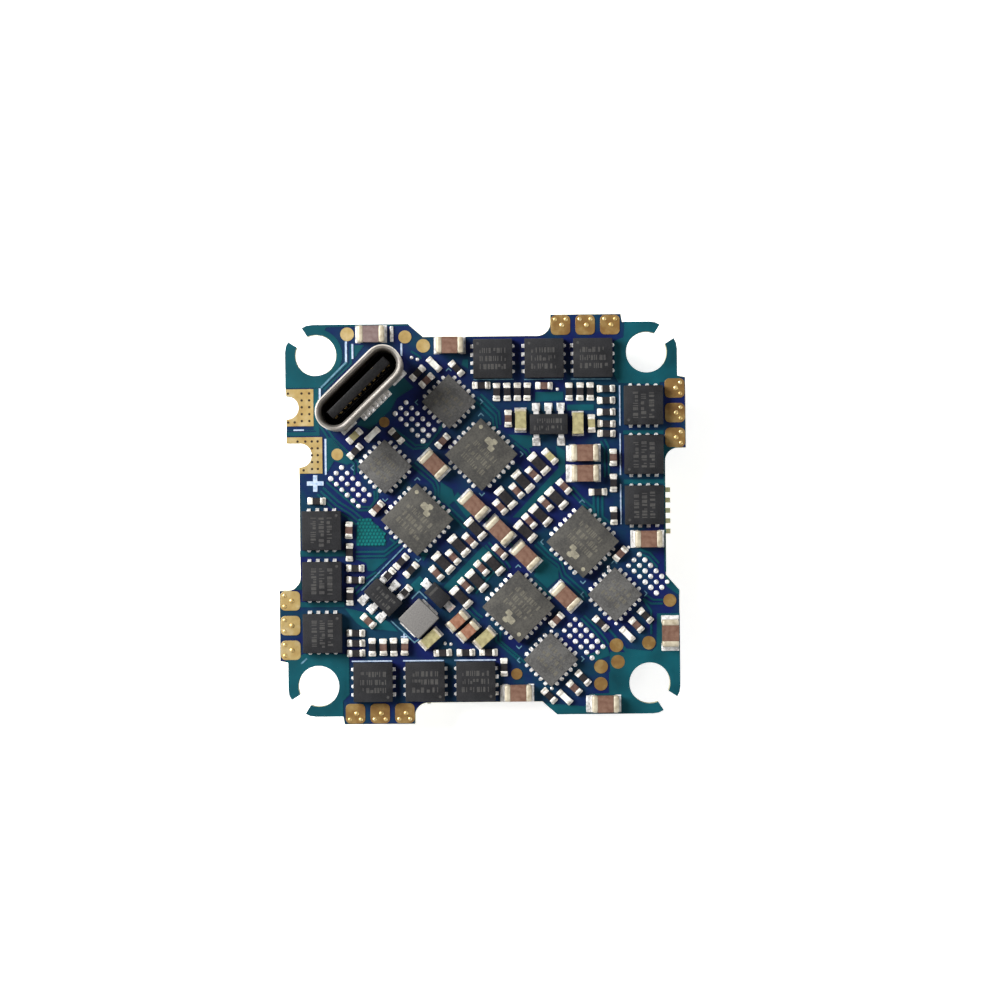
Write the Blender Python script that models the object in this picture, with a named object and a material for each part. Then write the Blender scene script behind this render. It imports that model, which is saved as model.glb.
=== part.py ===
"""All-in-one flight controller board for a small drone: one rigid circuit board that carries the four
motor drives, the power supply, the USB socket and, on its underside, the flight computer.

Frame: +Z up, origin on the surface the board stands on, under the centre of the four mounting holes.
+X runs towards the edge with the signal connector, +Y towards the edge beside the USB socket.
Sizes are in millimetres and turned to metres by MM where a mesh is made."""

import math

import bmesh
import bpy
from mathutils import Matrix, Vector

MM = 0.001

# Driving dimensions of the board
HOLE_SPACING = 25.5
HOLE_RADIUS = 1.575
BOARD_THICKNESS = 1.2
FLAT_EDGE = 14.1  # distance of the plain edges from the centre
EAR_EDGE = 15.1  # outer edge of the corner ears
TAB_EDGE = 15.72  # outer edge of the tabs that carry the motor pads
SOLDER_GAP = 0.05  # height of the solder film under every part
BODY_LIFT = 0.03  # height of a chip's moulded body above the underside of its terminals
PAD_PROUD = 0.04  # height of the bare pads and the seats round the holes
SEAT_RADIUS = 2.05
MINUS_BAY = (-14.98, 8.72, 0.88)  # centre and radius of the half-round bays for the battery wires
PLUS_BAY = (-14.05, 5.05, 0.92)
BAY_EDGE = -15.05

# Heights
CONNECTOR_HEIGHT = 3.0
BOARD_BOTTOM = CONNECTOR_HEIGHT + SOLDER_GAP
BOARD_TOP = BOARD_BOTTOM + BOARD_THICKNESS
PART_FLOOR = BOARD_TOP + SOLDER_GAP
PART_CEILING = BOARD_BOTTOM - SOLDER_GAP

# The four motor drives lie in two pairs, and one pair is the other turned half round this point
DRIVE_CENTRE = (1.32, -0.89)
DRIVE_STEP = (-4.98, -4.95)  # from the first drive of a pair to the second

# USB socket, standing upright at 45 degrees to the edges
USB_CENTRE = (-9.25, 10.05)
USB_TURN = 44
USB_LENGTH, USB_WIDTH, USB_WALL = 8.64, 2.86, 0.15
USB_HEIGHT = 6.0
USB_LEG_U, USB_LEG_V = 2.7, (USB_WIDTH - USB_WALL) / 2

# The side socket's comb stands past the board's edge by this much
COMB_REACH = 0.45

# Boot switch on the underside
SWITCH_CENTRE = (-12.3, -3.2)
SWITCH_SIZE = (3.0, 2.6, 1.1)
SWITCH_BORE = 0.8
BUTTON_RADIUS = 0.7
BUTTON_TRAVEL = 0.2
BUTTON_STICKS_OUT = 0.45


def clear_scene():
    for thing in list(bpy.data.objects):
        bpy.data.objects.remove(thing, do_unlink=True)


def material(name, colour, roughness, metallic=0.0):
    made = bpy.data.materials.new(name)
    made.use_nodes = True
    shader = made.node_tree.nodes["Principled BSDF"]
    shader.inputs["Base Color"].default_value = (*colour, 1.0)
    shader.inputs["Roughness"].default_value = roughness
    shader.inputs["Metallic"].default_value = metallic
    made.diffuse_color = (*colour, 1.0)
    return made


def add_object(name, mesh, finish, place=(0, 0, 0), turn=0.0):
    """One named object. place is in millimetres and turn is about +Z, in degrees."""
    made = bpy.data.objects.new(name, mesh)
    bpy.context.scene.collection.objects.link(made)
    if finish and not mesh.materials:
        mesh.materials.append(finish)
    made.location = [c * MM for c in place]
    made.rotation_euler = (0, 0, math.radians(turn))
    return made


def mesh_of(bm, name):
    bmesh.ops.recalc_face_normals(bm, faces=bm.faces)
    mesh = bpy.data.meshes.new(name)
    bm.to_mesh(mesh)
    bm.free()
    return mesh


def prism(name, outline, low, high):
    """A straight-sided solid over an outline in the XY plane."""
    bm = bmesh.new()
    base = bm.faces.new([bm.verts.new((x * MM, y * MM, low * MM)) for x, y in outline])
    walls = bmesh.ops.extrude_face_region(bm, geom=[base])
    top = [v for v in walls["geom"] if isinstance(v, bmesh.types.BMVert)]
    bmesh.ops.translate(bm, verts=top, vec=(0, 0, (high - low) * MM))
    return mesh_of(bm, name)


def boxes(name, blocks, bevel=0.0):
    """One mesh of boxes, each ((centre x, y), (size x, y), low z, high z)."""
    bm = bmesh.new()
    for (x, y), (size_x, size_y), low, high in blocks:
        spot = Matrix.Translation((x * MM, y * MM, (low + high) / 2 * MM))
        scale = Matrix.Diagonal((size_x * MM, size_y * MM, (high - low) * MM, 1))
        bmesh.ops.create_cube(bm, size=1, matrix=spot @ scale)
    if bevel:
        bmesh.ops.bevel(bm, geom=list(bm.edges), offset=bevel * MM, segments=1, affect="EDGES")
    return mesh_of(bm, name)


def combine(base, tool, operation):
    """The mesh of base united with, or cut by, the mesh of tool. Both meshes are used up."""
    first = add_object("base", base, None)
    second = add_object("tool", tool, None)
    change = first.modifiers.new("combine", "BOOLEAN")
    change.operation = operation
    change.solver = "EXACT"
    change.object = second
    graph = bpy.context.evaluated_depsgraph_get()
    made = bpy.data.meshes.new_from_object(first.evaluated_get(graph))
    for helper in (first, second):
        bpy.data.objects.remove(helper, do_unlink=True)
    return made


def arc(centre, radius, start, end, steps):
    """Points on a circle from start to end, in degrees, both ends included."""
    turns = [math.radians(start + (end - start) * i / steps) for i in range(steps + 1)]
    return [(centre[0] + radius * math.cos(t), centre[1] + radius * math.sin(t)) for t in turns]


def stadium(length, width, steps=10):
    """A slot outline with round ends, long in X."""
    reach = (length - width) / 2
    return (arc((reach, 0), width / 2, -90, 90, steps) + arc((-reach, 0), width / 2, 90, 270, steps))


# ---------------------------------------------------------------- circuit board


def edge_profile():
    """The board's +Y side from left to right: plain ear, sloping step, plain edge, and the pad tab."""
    step_start, step_end = -5.6, -4.45
    fillet_centre, fillet_radius = (4.35, 15.1), 1.0
    tab_start, tab_end = 5.35, 10.8
    return (
        [(-13.0, EAR_EDGE), (step_start, EAR_EDGE), (step_end, FLAT_EDGE)]
        + arc(fillet_centre, fillet_radius, -90, 0, 5)
        + [(tab_start, TAB_EDGE), (tab_end, TAB_EDGE), (tab_end + 0.1, EAR_EDGE), (13.0, EAR_EDGE)]
    )


def ear(quadrant_x, quadrant_y):
    """The open mounting hole of one corner, from the ear's Y edge round the hole to its X edge."""
    half = HOLE_SPACING / 2
    tip_near, tip_far = 13.8, 14.85
    neck = 23.5  # angle from each axis to where the hole opens outwards
    points = (
        [(13.45, EAR_EDGE - 0.07), (tip_near, tip_far)]
        + arc((half, half), HOLE_RADIUS, 90 - neck, 360 + neck, 32)
        + [(tip_far, tip_near), (EAR_EDGE - 0.07, 13.45)]
    )
    return [(x * quadrant_x, y * quadrant_y) for x, y in points]


def bay(place):
    x, y, radius = place
    return arc((x, y), radius, -90, 90, 12)


def raised_outlines():
    """Outlines of the bare pads, and of the seats round the holes, as (outline, on the underside too)."""
    half = HOLE_SPACING / 2
    outlines = []
    first, last = 80, 370  # angles of the seat's ends beside the open neck
    for sign_x in (-1, 1):
        for sign_y in (-1, 1):
            ring = arc((half, half), HOLE_RADIUS + 0.03, first, last, 24)
            ring += arc((half, half), SEAT_RADIUS, last, first, 24)
            outlines.append(([(x * sign_x, y * sign_y) for x, y in ring], True))
    pad, out = 0.75, 14.88
    for along in (6.15, 8.05, 9.95):
        for x, y in ((along, out), (out, along), (-along, -out), (-out, -along)):
            square = [(x + i * pad, y + j * pad) for i, j in ((-1, -1), (1, -1), (1, 1), (-1, 1))]
            outlines.append((square, False))
    edge = 0.03  # keeps the pads just inside the board's edge
    x, y, radius = MINUS_BAY
    minus = [(BAY_EDGE + edge, 10.15), (BAY_EDGE + edge, y + radius + edge)]
    minus += arc((x, y), radius + edge, 90, -90, 12)
    minus += [(BAY_EDGE + edge, y - radius - edge), (BAY_EDGE + edge, 7.3), (-12.95, 7.3), (-12.95, 10.15)]
    x, y, radius = PLUS_BAY
    plus = [(BAY_EDGE + edge, 6.45), (BAY_EDGE + edge, y + radius + edge)]
    plus += arc((x, y), radius + edge, 90, -90, 12)
    plus += [(-FLAT_EDGE + edge, y - radius - edge), (-FLAT_EDGE + edge, 3.65), (-12.3, 3.65), (-12.3, 6.45)]
    return outlines + [(minus, False), (plus, False)]


def board_outline():
    top = edge_profile()
    right = [(y, x) for x, y in reversed(top)]
    bottom = [(-x, -y) for x, y in top]
    # The -X side carries the two battery pads, each with a half-round bay for its wire
    lower_bay = bay(PLUS_BAY)
    upper_bay = bay(MINUS_BAY)
    left = (
        [(-x, -y) for x, y in right if y > 0]
        + [(-FLAT_EDGE, lower_bay[0][1])]
        + lower_bay
        + [(BAY_EDGE, lower_bay[-1][1]), (BAY_EDGE, upper_bay[0][1])]
        + upper_bay
        + [(BAY_EDGE, upper_bay[-1][1]), (-EAR_EDGE, 10.2), (-EAR_EDGE, 13.0)]
    )
    return (
        top
        + ear(1, 1)
        + right
        + list(reversed(ear(1, -1)))
        + bottom
        + ear(-1, -1)
        + left
        + list(reversed(ear(-1, 1)))
    )


def usb_to_board(u, v):
    """A point of the USB socket, u along its mouth and v across it, in board coordinates."""
    turn = math.radians(USB_TURN)
    return (
        USB_CENTRE[0] + u * math.cos(turn) - v * math.sin(turn),
        USB_CENTRE[1] + u * math.sin(turn) + v * math.cos(turn),
    )


def make_board(finish):
    mesh = prism("circuit_board", board_outline(), BOARD_BOTTOM, BOARD_TOP)
    slot_length, slot_width, overshoot = 1.3, 0.6, 0.5
    slots = bmesh.new()
    for side_u in (-1, 1):
        for side_v in (-1, 1):
            x, y = usb_to_board(side_u * USB_LEG_U, side_v * USB_LEG_V)
            middle = (BOARD_BOTTOM + BOARD_TOP) / 2
            spot = Matrix.Translation((x * MM, y * MM, middle * MM))
            turn = Matrix.Rotation(math.radians(USB_TURN), 4, "Z")
            size = (slot_length * MM, slot_width * MM, (BOARD_THICKNESS + overshoot) * MM, 1)
            bmesh.ops.create_cube(slots, size=1, matrix=spot @ turn @ Matrix.Diagonal(size))
    mesh = combine(mesh, mesh_of(slots, "slots"), "DIFFERENCE")
    root = 0.2  # depth by which a pad's solid overlaps the board before they are joined
    for outline, both_sides in raised_outlines():
        top = prism("pad", outline, BOARD_TOP - root, BOARD_TOP + PAD_PROUD)
        mesh = combine(mesh, top, "UNION")
        if both_sides:
            low = prism("pad", outline, BOARD_BOTTOM - PAD_PROUD, BOARD_BOTTOM + root)
            mesh = combine(mesh, low, "UNION")
    mesh.name = "circuit_board"
    add_object("circuit_board", mesh, finish)


# ---------------------------------------------------------------- semiconductor packages


def power_package():
    """A 3.3 mm power transistor: moulded body over four lead bars that show on two sides."""
    body, height, span = 3.0, 0.85, 3.36
    lead_pitch, lead_width, lead_height = 0.65, 0.32, 0.22
    bars = [
        ((0, (i - 1.5) * lead_pitch), (span, lead_width), 0, lead_height) for i in range(4)
    ]
    mesh = boxes("power_package", [((0, 0), (body, body), BODY_LIFT, height)])
    return combine(mesh, boxes("bars", bars), "UNION")


def flat_package(body, height, count, pitch, terminal=(0.24, 0.42), proud=0.07):
    """A leadless square package with its terminals just proud of all four sides."""
    width, length = terminal
    thick = 0.2
    rows = []
    for i in range(count):
        along = (i - (count - 1) / 2) * pitch
        out = body[1] / 2 + proud - length / 2
        rows += [((along, side * out), (width, length), 0, thick) for side in (-1, 1)]
        if body[0] == body[1]:
            rows += [((side * out, along), (length, width), 0, thick) for side in (-1, 1)]
    mesh = boxes("flat_package", [((0, 0), body, BODY_LIFT, height)])
    return combine(mesh, boxes("terminals", rows), "UNION")


def gull_lead(y, side, inner, foot_end, width, shoulder, thick=0.13):
    """One bent lead of a leaded package, as a closed profile drawn across the body and given a width."""
    knee = inner + 0.22
    root = inner - 0.3  # where the lead starts, inside the moulding
    profile = [
        (root, shoulder),
        (root, shoulder + thick),
        (knee + thick, shoulder + thick),
        (knee + thick, thick),
        (foot_end, thick),
        (foot_end, 0),
        (knee, 0),
        (knee, shoulder),
    ]
    bm = bmesh.new()
    face = bm.faces.new(
        [bm.verts.new((side * x * MM, (y - width / 2) * MM, z * MM)) for x, z in profile]
    )
    wall = bmesh.ops.extrude_face_region(bm, geom=[face])
    moved = [v for v in wall["geom"] if isinstance(v, bmesh.types.BMVert)]
    bmesh.ops.translate(bm, verts=moved, vec=(0, width * MM, 0))
    return mesh_of(bm, "lead")


def leaded_package(body, height, rows, width, span):
    """A moulded package, long in Y, with bent leads. rows gives each side's lead positions."""
    standoff = 0.1
    shoulder = height * 0.45
    mesh = boxes("leaded_package", [((0, 0), body, standoff, height)])
    for side, places in rows.items():
        for y in places:
            lead = gull_lead(y, side, body[0] / 2, span / 2, width, shoulder)
            mesh = combine(mesh, lead, "UNION")
    return mesh


def chip_part(length, width, height, band, lip=0.03):
    """A two-terminal ceramic part: body with a metal band round each end."""
    end = length / 2 - band / 2
    bands = [((side * end, 0), (band, width), 0, height) for side in (-1, 1)]
    inner = (length - band, width - 2 * lip)
    mesh = boxes("chip_part", [((0, 0), inner, lip, height - lip)])
    return combine(mesh, boxes("bands", bands), "UNION")


# ---------------------------------------------------------------- top side


def make_transistors(finish):
    """Three power transistors stand along each edge, leads facing along that edge."""
    mesh = power_package()
    mesh.name = "power_package"
    places = (
        [(x, 12.33, 0) for x in (0.9, 4.85, 8.6)]
        + [(12.45, y, 90) for y in (8.65, 4.85, 0.97)]
        + [(-12.4, y, 90) for y in (-0.75, -4.65, -8.65)]
        + [(x, -12.45, 0) for x in (-8.55, -4.55, -0.65)]
    )
    for number, (x, y, turn) in enumerate(places, 1):
        add_object(f"power_transistor_{number:02d}", mesh, finish, (x, y, PART_FLOOR), turn)


def half_round(x, y):
    """The same place on the other pair of motor drives."""
    return (2 * DRIVE_CENTRE[0] - x, 2 * DRIVE_CENTRE[1] - y)


def drive_places(x, y):
    """A place given on the first motor drive, repeated on all four."""
    second = (x + DRIVE_STEP[0], y + DRIVE_STEP[1])
    return [(x, y), second, half_round(*second), half_round(x, y)]


def make_drives(finish):
    driver = flat_package((3.95, 3.95), 0.85, 6, 0.5)
    processor = flat_package((2.95, 2.95), 0.75, 4, 0.5)
    for number, (x, y) in enumerate(drive_places(-0.05, 4.97), 1):
        add_object(f"gate_driver_{number}", driver, finish, (x, y, PART_FLOOR), 45)
    for number, (x, y) in enumerate(drive_places(-2.5, 9.07), 1):
        add_object(f"motor_processor_{number}", processor, finish, (x, y, PART_FLOOR), 45)


def make_capacitors(finish):
    """Large ceramic capacitors across the supply, then the smaller ones round the regulators."""
    bulk = chip_part(2.1, 1.3, 1.05, 0.5)
    chain_step = 1.97
    cx, cy = DRIVE_CENTRE
    places = [
        (-8.45, 14.33, 0),
        (-2.4, 13.42, 0),
        (7.92, 5.02, 0),
        (7.92, 3.45, 0),
        (12.75, -1.65, 0),
        (14.35, -8.9, 90),
        (9.3, -14.3, 0),
        (2.6, -13.4, 0),
        (-3.7, 4.25, -45),
        (*half_round(-3.7, 4.25), -45),
    ]
    places += [(cx + i * chain_step, cy - i * chain_step, -45) for i in (-1, 0, 1)]
    for number, (x, y, turn) in enumerate(places, 1):
        add_object(f"bulk_capacitor_{number:02d}", bulk, finish, (x, y, PART_FLOOR), turn)
    filter_mesh = chip_part(1.65, 0.85, 0.8, 0.35)
    small = [
        (3.0, 7.6, 90),
        (7.4, 7.3, 90),
        (-2.0, -7.8, 42),
        (-1.18, -8.58, 42),
        (-4.1, -9.15, 42),
        (0.05, -9.15, 42),
    ]
    for number, (x, y, turn) in enumerate(small, 1):
        add_object(f"filter_capacitor_{number}", filter_mesh, finish, (x, y, PART_FLOOR), turn)


def make_supply(epoxy, ferrite):
    """Step-down converter, its inductor and diode, and the current-sense amplifier."""
    amplifier = leaded_package((1.55, 2.9), 1.05, {1: (-0.95, 0, 0.95), -1: (-0.95, 0.95)}, 0.4, 2.7)
    add_object("current_sense_amplifier", amplifier, epoxy, (5.15, 7.25, PART_FLOOR), 90)
    three = (-0.95, 0, 0.95)
    converter = leaded_package((1.5, 2.75), 1.05, {1: three, -1: three}, 0.4, 2.6)
    add_object("step_down_converter", converter, epoxy, (-7.7, -5.92, PART_FLOOR), 45)
    lift = 0.06
    diode = boxes("diode_body", [((0, 0), (1.8, 1.15), lift, 0.75)])
    tabs = [((side * 1.05, 0), (0.7, 0.6), 0, 0.2) for side in (-1, 1)]
    add_object(
        "schottky_diode",
        combine(diode, boxes("tabs", tabs), "UNION"),
        epoxy,
        (-3.52, -5.82, PART_FLOOR),
        -45,
    )
    core = boxes("inductor_core", [((0, 0), (2.3, 2.2), lift, 1.1)], bevel=0.08)
    ends = [((side * 1.02, 0), (0.36, 1.7), 0, 0.4) for side in (-1, 1)]
    inductor = combine(core, boxes("ends", ends), "UNION")
    add_object("power_inductor", inductor, ferrite, (-4.98, -7.58, PART_FLOOR), 45)


def make_usb(steel, nylon):
    """Upright USB socket: drawn steel shell with four legs through the board, and the contact tongue."""
    floor, rim = PART_FLOOR, BOARD_TOP + USB_HEIGHT
    inner_length, inner_width = USB_LENGTH - 2 * USB_WALL, USB_WIDTH - 2 * USB_WALL
    shell = prism("usb_shell", stadium(USB_LENGTH, USB_WIDTH), floor, rim)
    bore = prism("bore", stadium(inner_length, inner_width), floor - 1, rim + 1)
    shell = combine(shell, bore, "DIFFERENCE")
    leg_width, leg_thick, leg_root, leg_sticks_out = 0.8, 0.12, 0.4, 0.3
    legs = [
        (
            (side_u * USB_LEG_U, side_v * USB_LEG_V),
            (leg_width, leg_thick),
            BOARD_BOTTOM - leg_sticks_out,
            floor + leg_root,
        )
        for side_u in (-1, 1)
        for side_v in (-1, 1)
    ]
    shell = combine(shell, boxes("legs", legs), "UNION")
    add_object("usb_shell", shell, steel, (*USB_CENTRE, 0), USB_TURN)

    play, base_height = 0.05, 1.3
    tongue_length, tongue_thick, tongue_short_of_rim = 6.69, 0.7, 0.6
    base = prism(
        "usb_tongue",
        stadium(inner_length - 2 * play, inner_width - 2 * play),
        floor,
        floor + base_height,
    )
    blade = boxes(
        "blade",
        [((0, 0), (tongue_length, tongue_thick), floor + base_height / 2, rim - tongue_short_of_rim)],
    )
    add_object("usb_tongue", combine(base, blade, "UNION"), nylon, (*USB_CENTRE, 0), USB_TURN)


# ---------------------------------------------------------------- underside


def hang(mesh, name, finish, x, y, turn=0):
    """A part soldered to the underside: the same mesh, turned over about X."""
    made = add_object(name, mesh, finish, (x, y, PART_CEILING))
    made.rotation_euler = (math.pi, 0, math.radians(turn))
    return made


def side_socket(pins, pitch=0.8, depth=3.8, end=0.9, wall=0.4, well=2.4):
    """A board-to-wire socket, long in Y, with its mouth facing +X and a comb along the mouth."""
    length = (pins - 1) * pitch + 2 * end
    block = boxes("side_socket", [((-depth / 2, 0), (depth, length), 0, CONNECTOR_HEIGHT)])
    mouth_middle, overshoot = -well / 2, 1.0
    pocket = [
        (
            (mouth_middle + overshoot / 2, 0),
            (well + overshoot, length - 2 * wall),
            wall,
            CONNECTOR_HEIGHT - wall,
        )
    ]
    socket = combine(block, boxes("pocket", pocket), "DIFFERENCE")
    comb = [
        ((COMB_REACH / 2 - 0.2, (i - (pins - 2) / 2) * pitch), (COMB_REACH + 0.4, 0.38), 0, wall)
        for i in range(pins - 1)
    ]
    return combine(socket, boxes("comb", comb), "UNION")


def wafer(pins, pitch=0.8, depth=3.0, end=1.3, wall=0.42, well=2.0):
    """A board-to-wire socket with its mouth facing away from the board, long in Y."""
    length = (pins - 1) * pitch + 2 * end
    block = boxes("wafer", [((0, 0), (depth, length), 0, CONNECTOR_HEIGHT)])
    mouth = (depth - 2 * wall, length - 2 * wall)
    pocket = [((0, 0), mouth, CONNECTOR_HEIGHT - well, CONNECTOR_HEIGHT + 1)]
    # Two keyways in one long wall take the plug's ribs
    key_inset, key_size, key_depth = 1.2, (1.2, 0.5), 1.2
    keyway = [
        (
            (depth / 2, side * (length / 2 - key_inset)),
            key_size,
            CONNECTOR_HEIGHT - key_depth,
            CONNECTOR_HEIGHT + 1,
        )
        for side in (-1, 1)
    ]
    socket = combine(block, boxes("pocket", pocket), "DIFFERENCE")
    return combine(socket, boxes("keyway", keyway), "DIFFERENCE")


def make_connectors(finish):
    hang(side_socket(6), "signal_connector", finish, FLAT_EDGE - 0.02, 0.52)
    hang(wafer(4), "receiver_connector", finish, -1.6, 12.2, 90)
    hang(wafer(4), "camera_connector", finish, -5.5, -12.2, 90)


def make_flight_computer(epoxy, steel, ceramic):
    processor = flat_package((7.0, 7.0), 0.9, 12, 0.5)
    hang(processor, "flight_processor", epoxy, -0.5, 0.3, 45)
    hang(flat_package((5.0, 6.0), 0.8, 4, 1.27, (0.4, 0.6)), "log_memory", epoxy, -7.2, -6.2, 90)
    leads = tuple((i - 6.5) * 0.65 for i in range(14))
    display = leaded_package((4.4, 9.7), 1.0, {1: leads, -1: leads}, 0.24, 6.4)
    hang(display, "display_overlay_chip", epoxy, 3.8, -8.2, 90)
    hang(boxes("gyro", [((0, 0), (3.0, 2.5), 0, 0.85)], bevel=0.06), "motion_sensor", epoxy, 6.6, 3.4, 45)
    vent_radius, vent_depth = 0.22, 0.4
    lid = boxes("barometer", [((0, 0), (2.5, 2.0), 0, 0.95)], bevel=0.06)
    vent = prism("vent", arc((0.6, 0.4), vent_radius, 0, 330, 11), 0.95 - vent_depth, 1.5)
    hang(combine(lid, vent, "DIFFERENCE"), "air_pressure_sensor", steel, 7.3, 8.2)
    can = boxes("crystal_base", [((0, 0), (3.2, 2.5), 0, 0.45)])
    cover = boxes("crystal_cover", [((0, 0), (2.8, 2.1), 0.3, 0.75)], bevel=0.08)
    hang(combine(can, cover, "UNION"), "crystal", steel, -7.4, 3.4, 45)
    lamp = chip_part(1.6, 0.8, 0.45, 0.35)
    for name, x in (("status_lamp_power", 4.2), ("status_lamp_ready", 6.2)):
        hang(lamp.copy(), name, ceramic, x, 12.6)


def make_boot_switch(epoxy, nylon):
    """Push switch that starts the processor in its loader. Its button travels towards the board."""
    length, width, height = SWITCH_SIZE
    body = boxes("switch_body", [((0, 0), (length, width), 0, height)], bevel=0.05)
    play, floor_clearance = 0.06, 0.1
    overshoot = 1.0
    bore = prism(
        "switch_bore",
        arc((0, 0), BUTTON_RADIUS + play, 0, 345, 23),
        height - SWITCH_BORE,
        height + overshoot,
    )
    body = combine(body, bore, "DIFFERENCE")
    foot_step, foot_size, foot_low, foot_high = 0.75, (0.6, 0.5), -0.02, 0.15
    feet = [
        ((end * length / 2, side * foot_step), foot_size, foot_low, foot_high)
        for end in (-1, 1)
        for side in (-1, 1)
    ]
    hang(combine(body, boxes("feet", feet), "UNION"), "boot_switch_body", epoxy, *SWITCH_CENTRE)

    # The button's origin lies on its line of travel
    rest_gap = SWITCH_BORE - BUTTON_TRAVEL - floor_clearance
    button = prism(
        "boot_button",
        arc((0, 0), BUTTON_RADIUS, 0, 345, 23),
        height - rest_gap,
        height + BUTTON_STICKS_OUT,
    )
    hang(button, "boot_button", nylon, *SWITCH_CENTRE)


def main():
    clear_scene()
    mask = material("solder_mask", (0.01, 0.07, 0.16), 0.35)
    epoxy = material("moulded_epoxy", (0.03, 0.03, 0.032), 0.6)
    tin = material("tinned_ceramic", (0.35, 0.2, 0.15), 0.45)
    ferrite = material("ferrite", (0.27, 0.25, 0.24), 0.65)
    steel = material("drawn_steel", (0.55, 0.53, 0.5), 0.3, 1.0)
    nylon = material("connector_nylon", (0.6, 0.57, 0.48), 0.55)
    contact_block = material("contact_block", (0.03, 0.03, 0.035), 0.45)
    make_board(mask)
    make_transistors(epoxy)
    make_drives(epoxy)
    make_capacitors(tin)
    make_supply(epoxy, ferrite)
    make_usb(steel, contact_block)
    make_connectors(nylon)
    make_flight_computer(epoxy, steel, tin)
    make_boot_switch(epoxy, contact_block)


main()
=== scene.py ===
"""Flight controller board: the finished look of every piece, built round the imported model."""

import math
import random

import bmesh
import bpy
from mathutils import Matrix, Vector


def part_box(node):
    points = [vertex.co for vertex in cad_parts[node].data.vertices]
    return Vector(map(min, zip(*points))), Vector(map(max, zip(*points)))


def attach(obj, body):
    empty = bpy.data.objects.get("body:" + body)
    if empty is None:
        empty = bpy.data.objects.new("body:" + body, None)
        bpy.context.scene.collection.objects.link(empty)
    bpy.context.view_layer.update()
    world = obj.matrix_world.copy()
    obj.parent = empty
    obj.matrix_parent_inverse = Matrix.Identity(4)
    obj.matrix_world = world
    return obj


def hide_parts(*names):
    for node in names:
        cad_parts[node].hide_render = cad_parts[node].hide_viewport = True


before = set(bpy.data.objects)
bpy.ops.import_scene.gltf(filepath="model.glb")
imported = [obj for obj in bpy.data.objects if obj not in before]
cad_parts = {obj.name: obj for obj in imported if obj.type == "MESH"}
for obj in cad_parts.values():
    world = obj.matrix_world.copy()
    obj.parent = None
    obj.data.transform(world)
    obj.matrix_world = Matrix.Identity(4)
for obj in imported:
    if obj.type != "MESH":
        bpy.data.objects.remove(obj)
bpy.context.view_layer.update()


# ------------------------------------------------------------------------------------------------
# Camera and light
# The board lies face up under a camera that looks straight down at it, a little off its middle.
# The light is a white tent: a bright ceiling and walls, so that the board throws almost no shadow.

MM = 0.001
BOARD_LOW, BOARD_HIGH = (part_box("circuit_board")[i].z for i in (0, 1))
SEAT_PROUD = 0.04 * MM
BOARD_TOP = BOARD_HIGH - SEAT_PROUD
BOARD_UNDER = BOARD_LOW + SEAT_PROUD

camera_data = bpy.data.cameras.new("camera")
camera = bpy.data.objects.new("camera", camera_data)
bpy.context.scene.collection.objects.link(camera)
camera_height, view_width = 250 * MM, 77.04 * MM
camera.location = (1.35 * MM, 1.46 * MM, BOARD_TOP + camera_height)
camera.rotation_euler = (0, 0, math.radians(-0.6))
camera_data.sensor_width = 36
camera_data.lens = camera_data.sensor_width * camera_height / view_width
camera_data.clip_start = 0.01
bpy.context.scene.camera = camera


def soft_light(name, place, aim, size, watts):
    data = bpy.data.lights.new(name, "AREA")
    data.shape = "RECTANGLE"
    data.size, data.size_y = size
    data.energy = watts
    light = bpy.data.objects.new(name, data)
    bpy.context.scene.collection.objects.link(light)
    light.location = place
    light.rotation_euler = (Vector(aim) - Vector(place)).to_track_quat("-Z", "Y").to_euler()


soft_light("key_light", (-0.25, 0.12, 0.21), (0, 0, 0), (0.18, 0.22), 3.0)
soft_light("fill_light", (0.26, -0.1, 0.2), (0, 0, 0), (0.25, 0.2), 0.5)

# The tent is open above, where the camera looks in, so flat faces mirror a dark patch
world = bpy.data.worlds.new("studio")
bpy.context.scene.world = world
world.use_nodes = True
sky = world.node_tree
direction = sky.nodes.new("ShaderNodeTexCoord").outputs["Generated"]
steepness = sky.nodes.new("ShaderNodeSeparateXYZ")
sky.links.new(direction, steepness.inputs["Vector"])
tent = sky.nodes.new("ShaderNodeValToRGB")
sky.links.new(steepness.outputs["Z"], tent.inputs["Fac"])
WALLS_END, OPENING_START = (0.72, 1.0), (0.9, 0.12)  # steepness and brightness, the first to the second
for element, (steep, bright) in zip(tent.color_ramp.elements, (WALLS_END, OPENING_START)):
    element.position = steep
    element.color = (bright, bright, bright, 1)
sky.links.new(tent.outputs["Color"], sky.nodes["Background"].inputs["Color"])
TENT_GLOW = 0.42
sky.nodes["Background"].inputs["Strength"].default_value = TENT_GLOW
bpy.context.scene.view_settings.view_transform = "Standard"


# ------------------------------------------------------------------------------------------------
# Studio floor
# A flat sheet of matt white card under the board.
# It is pressed paper board, so its face is even, with no gloss.


def to_linear(sheet_colour):
    """An sRGB hex colour as linear RGBA."""
    channels = [int(sheet_colour[i : i + 2], 16) / 255 for i in (1, 3, 5)]
    linear = [c / 12.92 if c <= 0.04045 else ((c + 0.055) / 1.055) ** 2.4 for c in channels]
    return (*linear, 1.0)


def new_material(name, colour, roughness, metallic=0.0):
    """A material with its shader's constant values, and the shader and its node tree."""
    made = bpy.data.materials.new(name)
    made.use_nodes = True
    tree = made.node_tree
    shader = tree.nodes["Principled BSDF"]
    shader.inputs["Base Color"].default_value = to_linear(colour)
    shader.inputs["Roughness"].default_value = roughness
    shader.inputs["Metallic"].default_value = metallic
    return made, tree, shader


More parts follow.
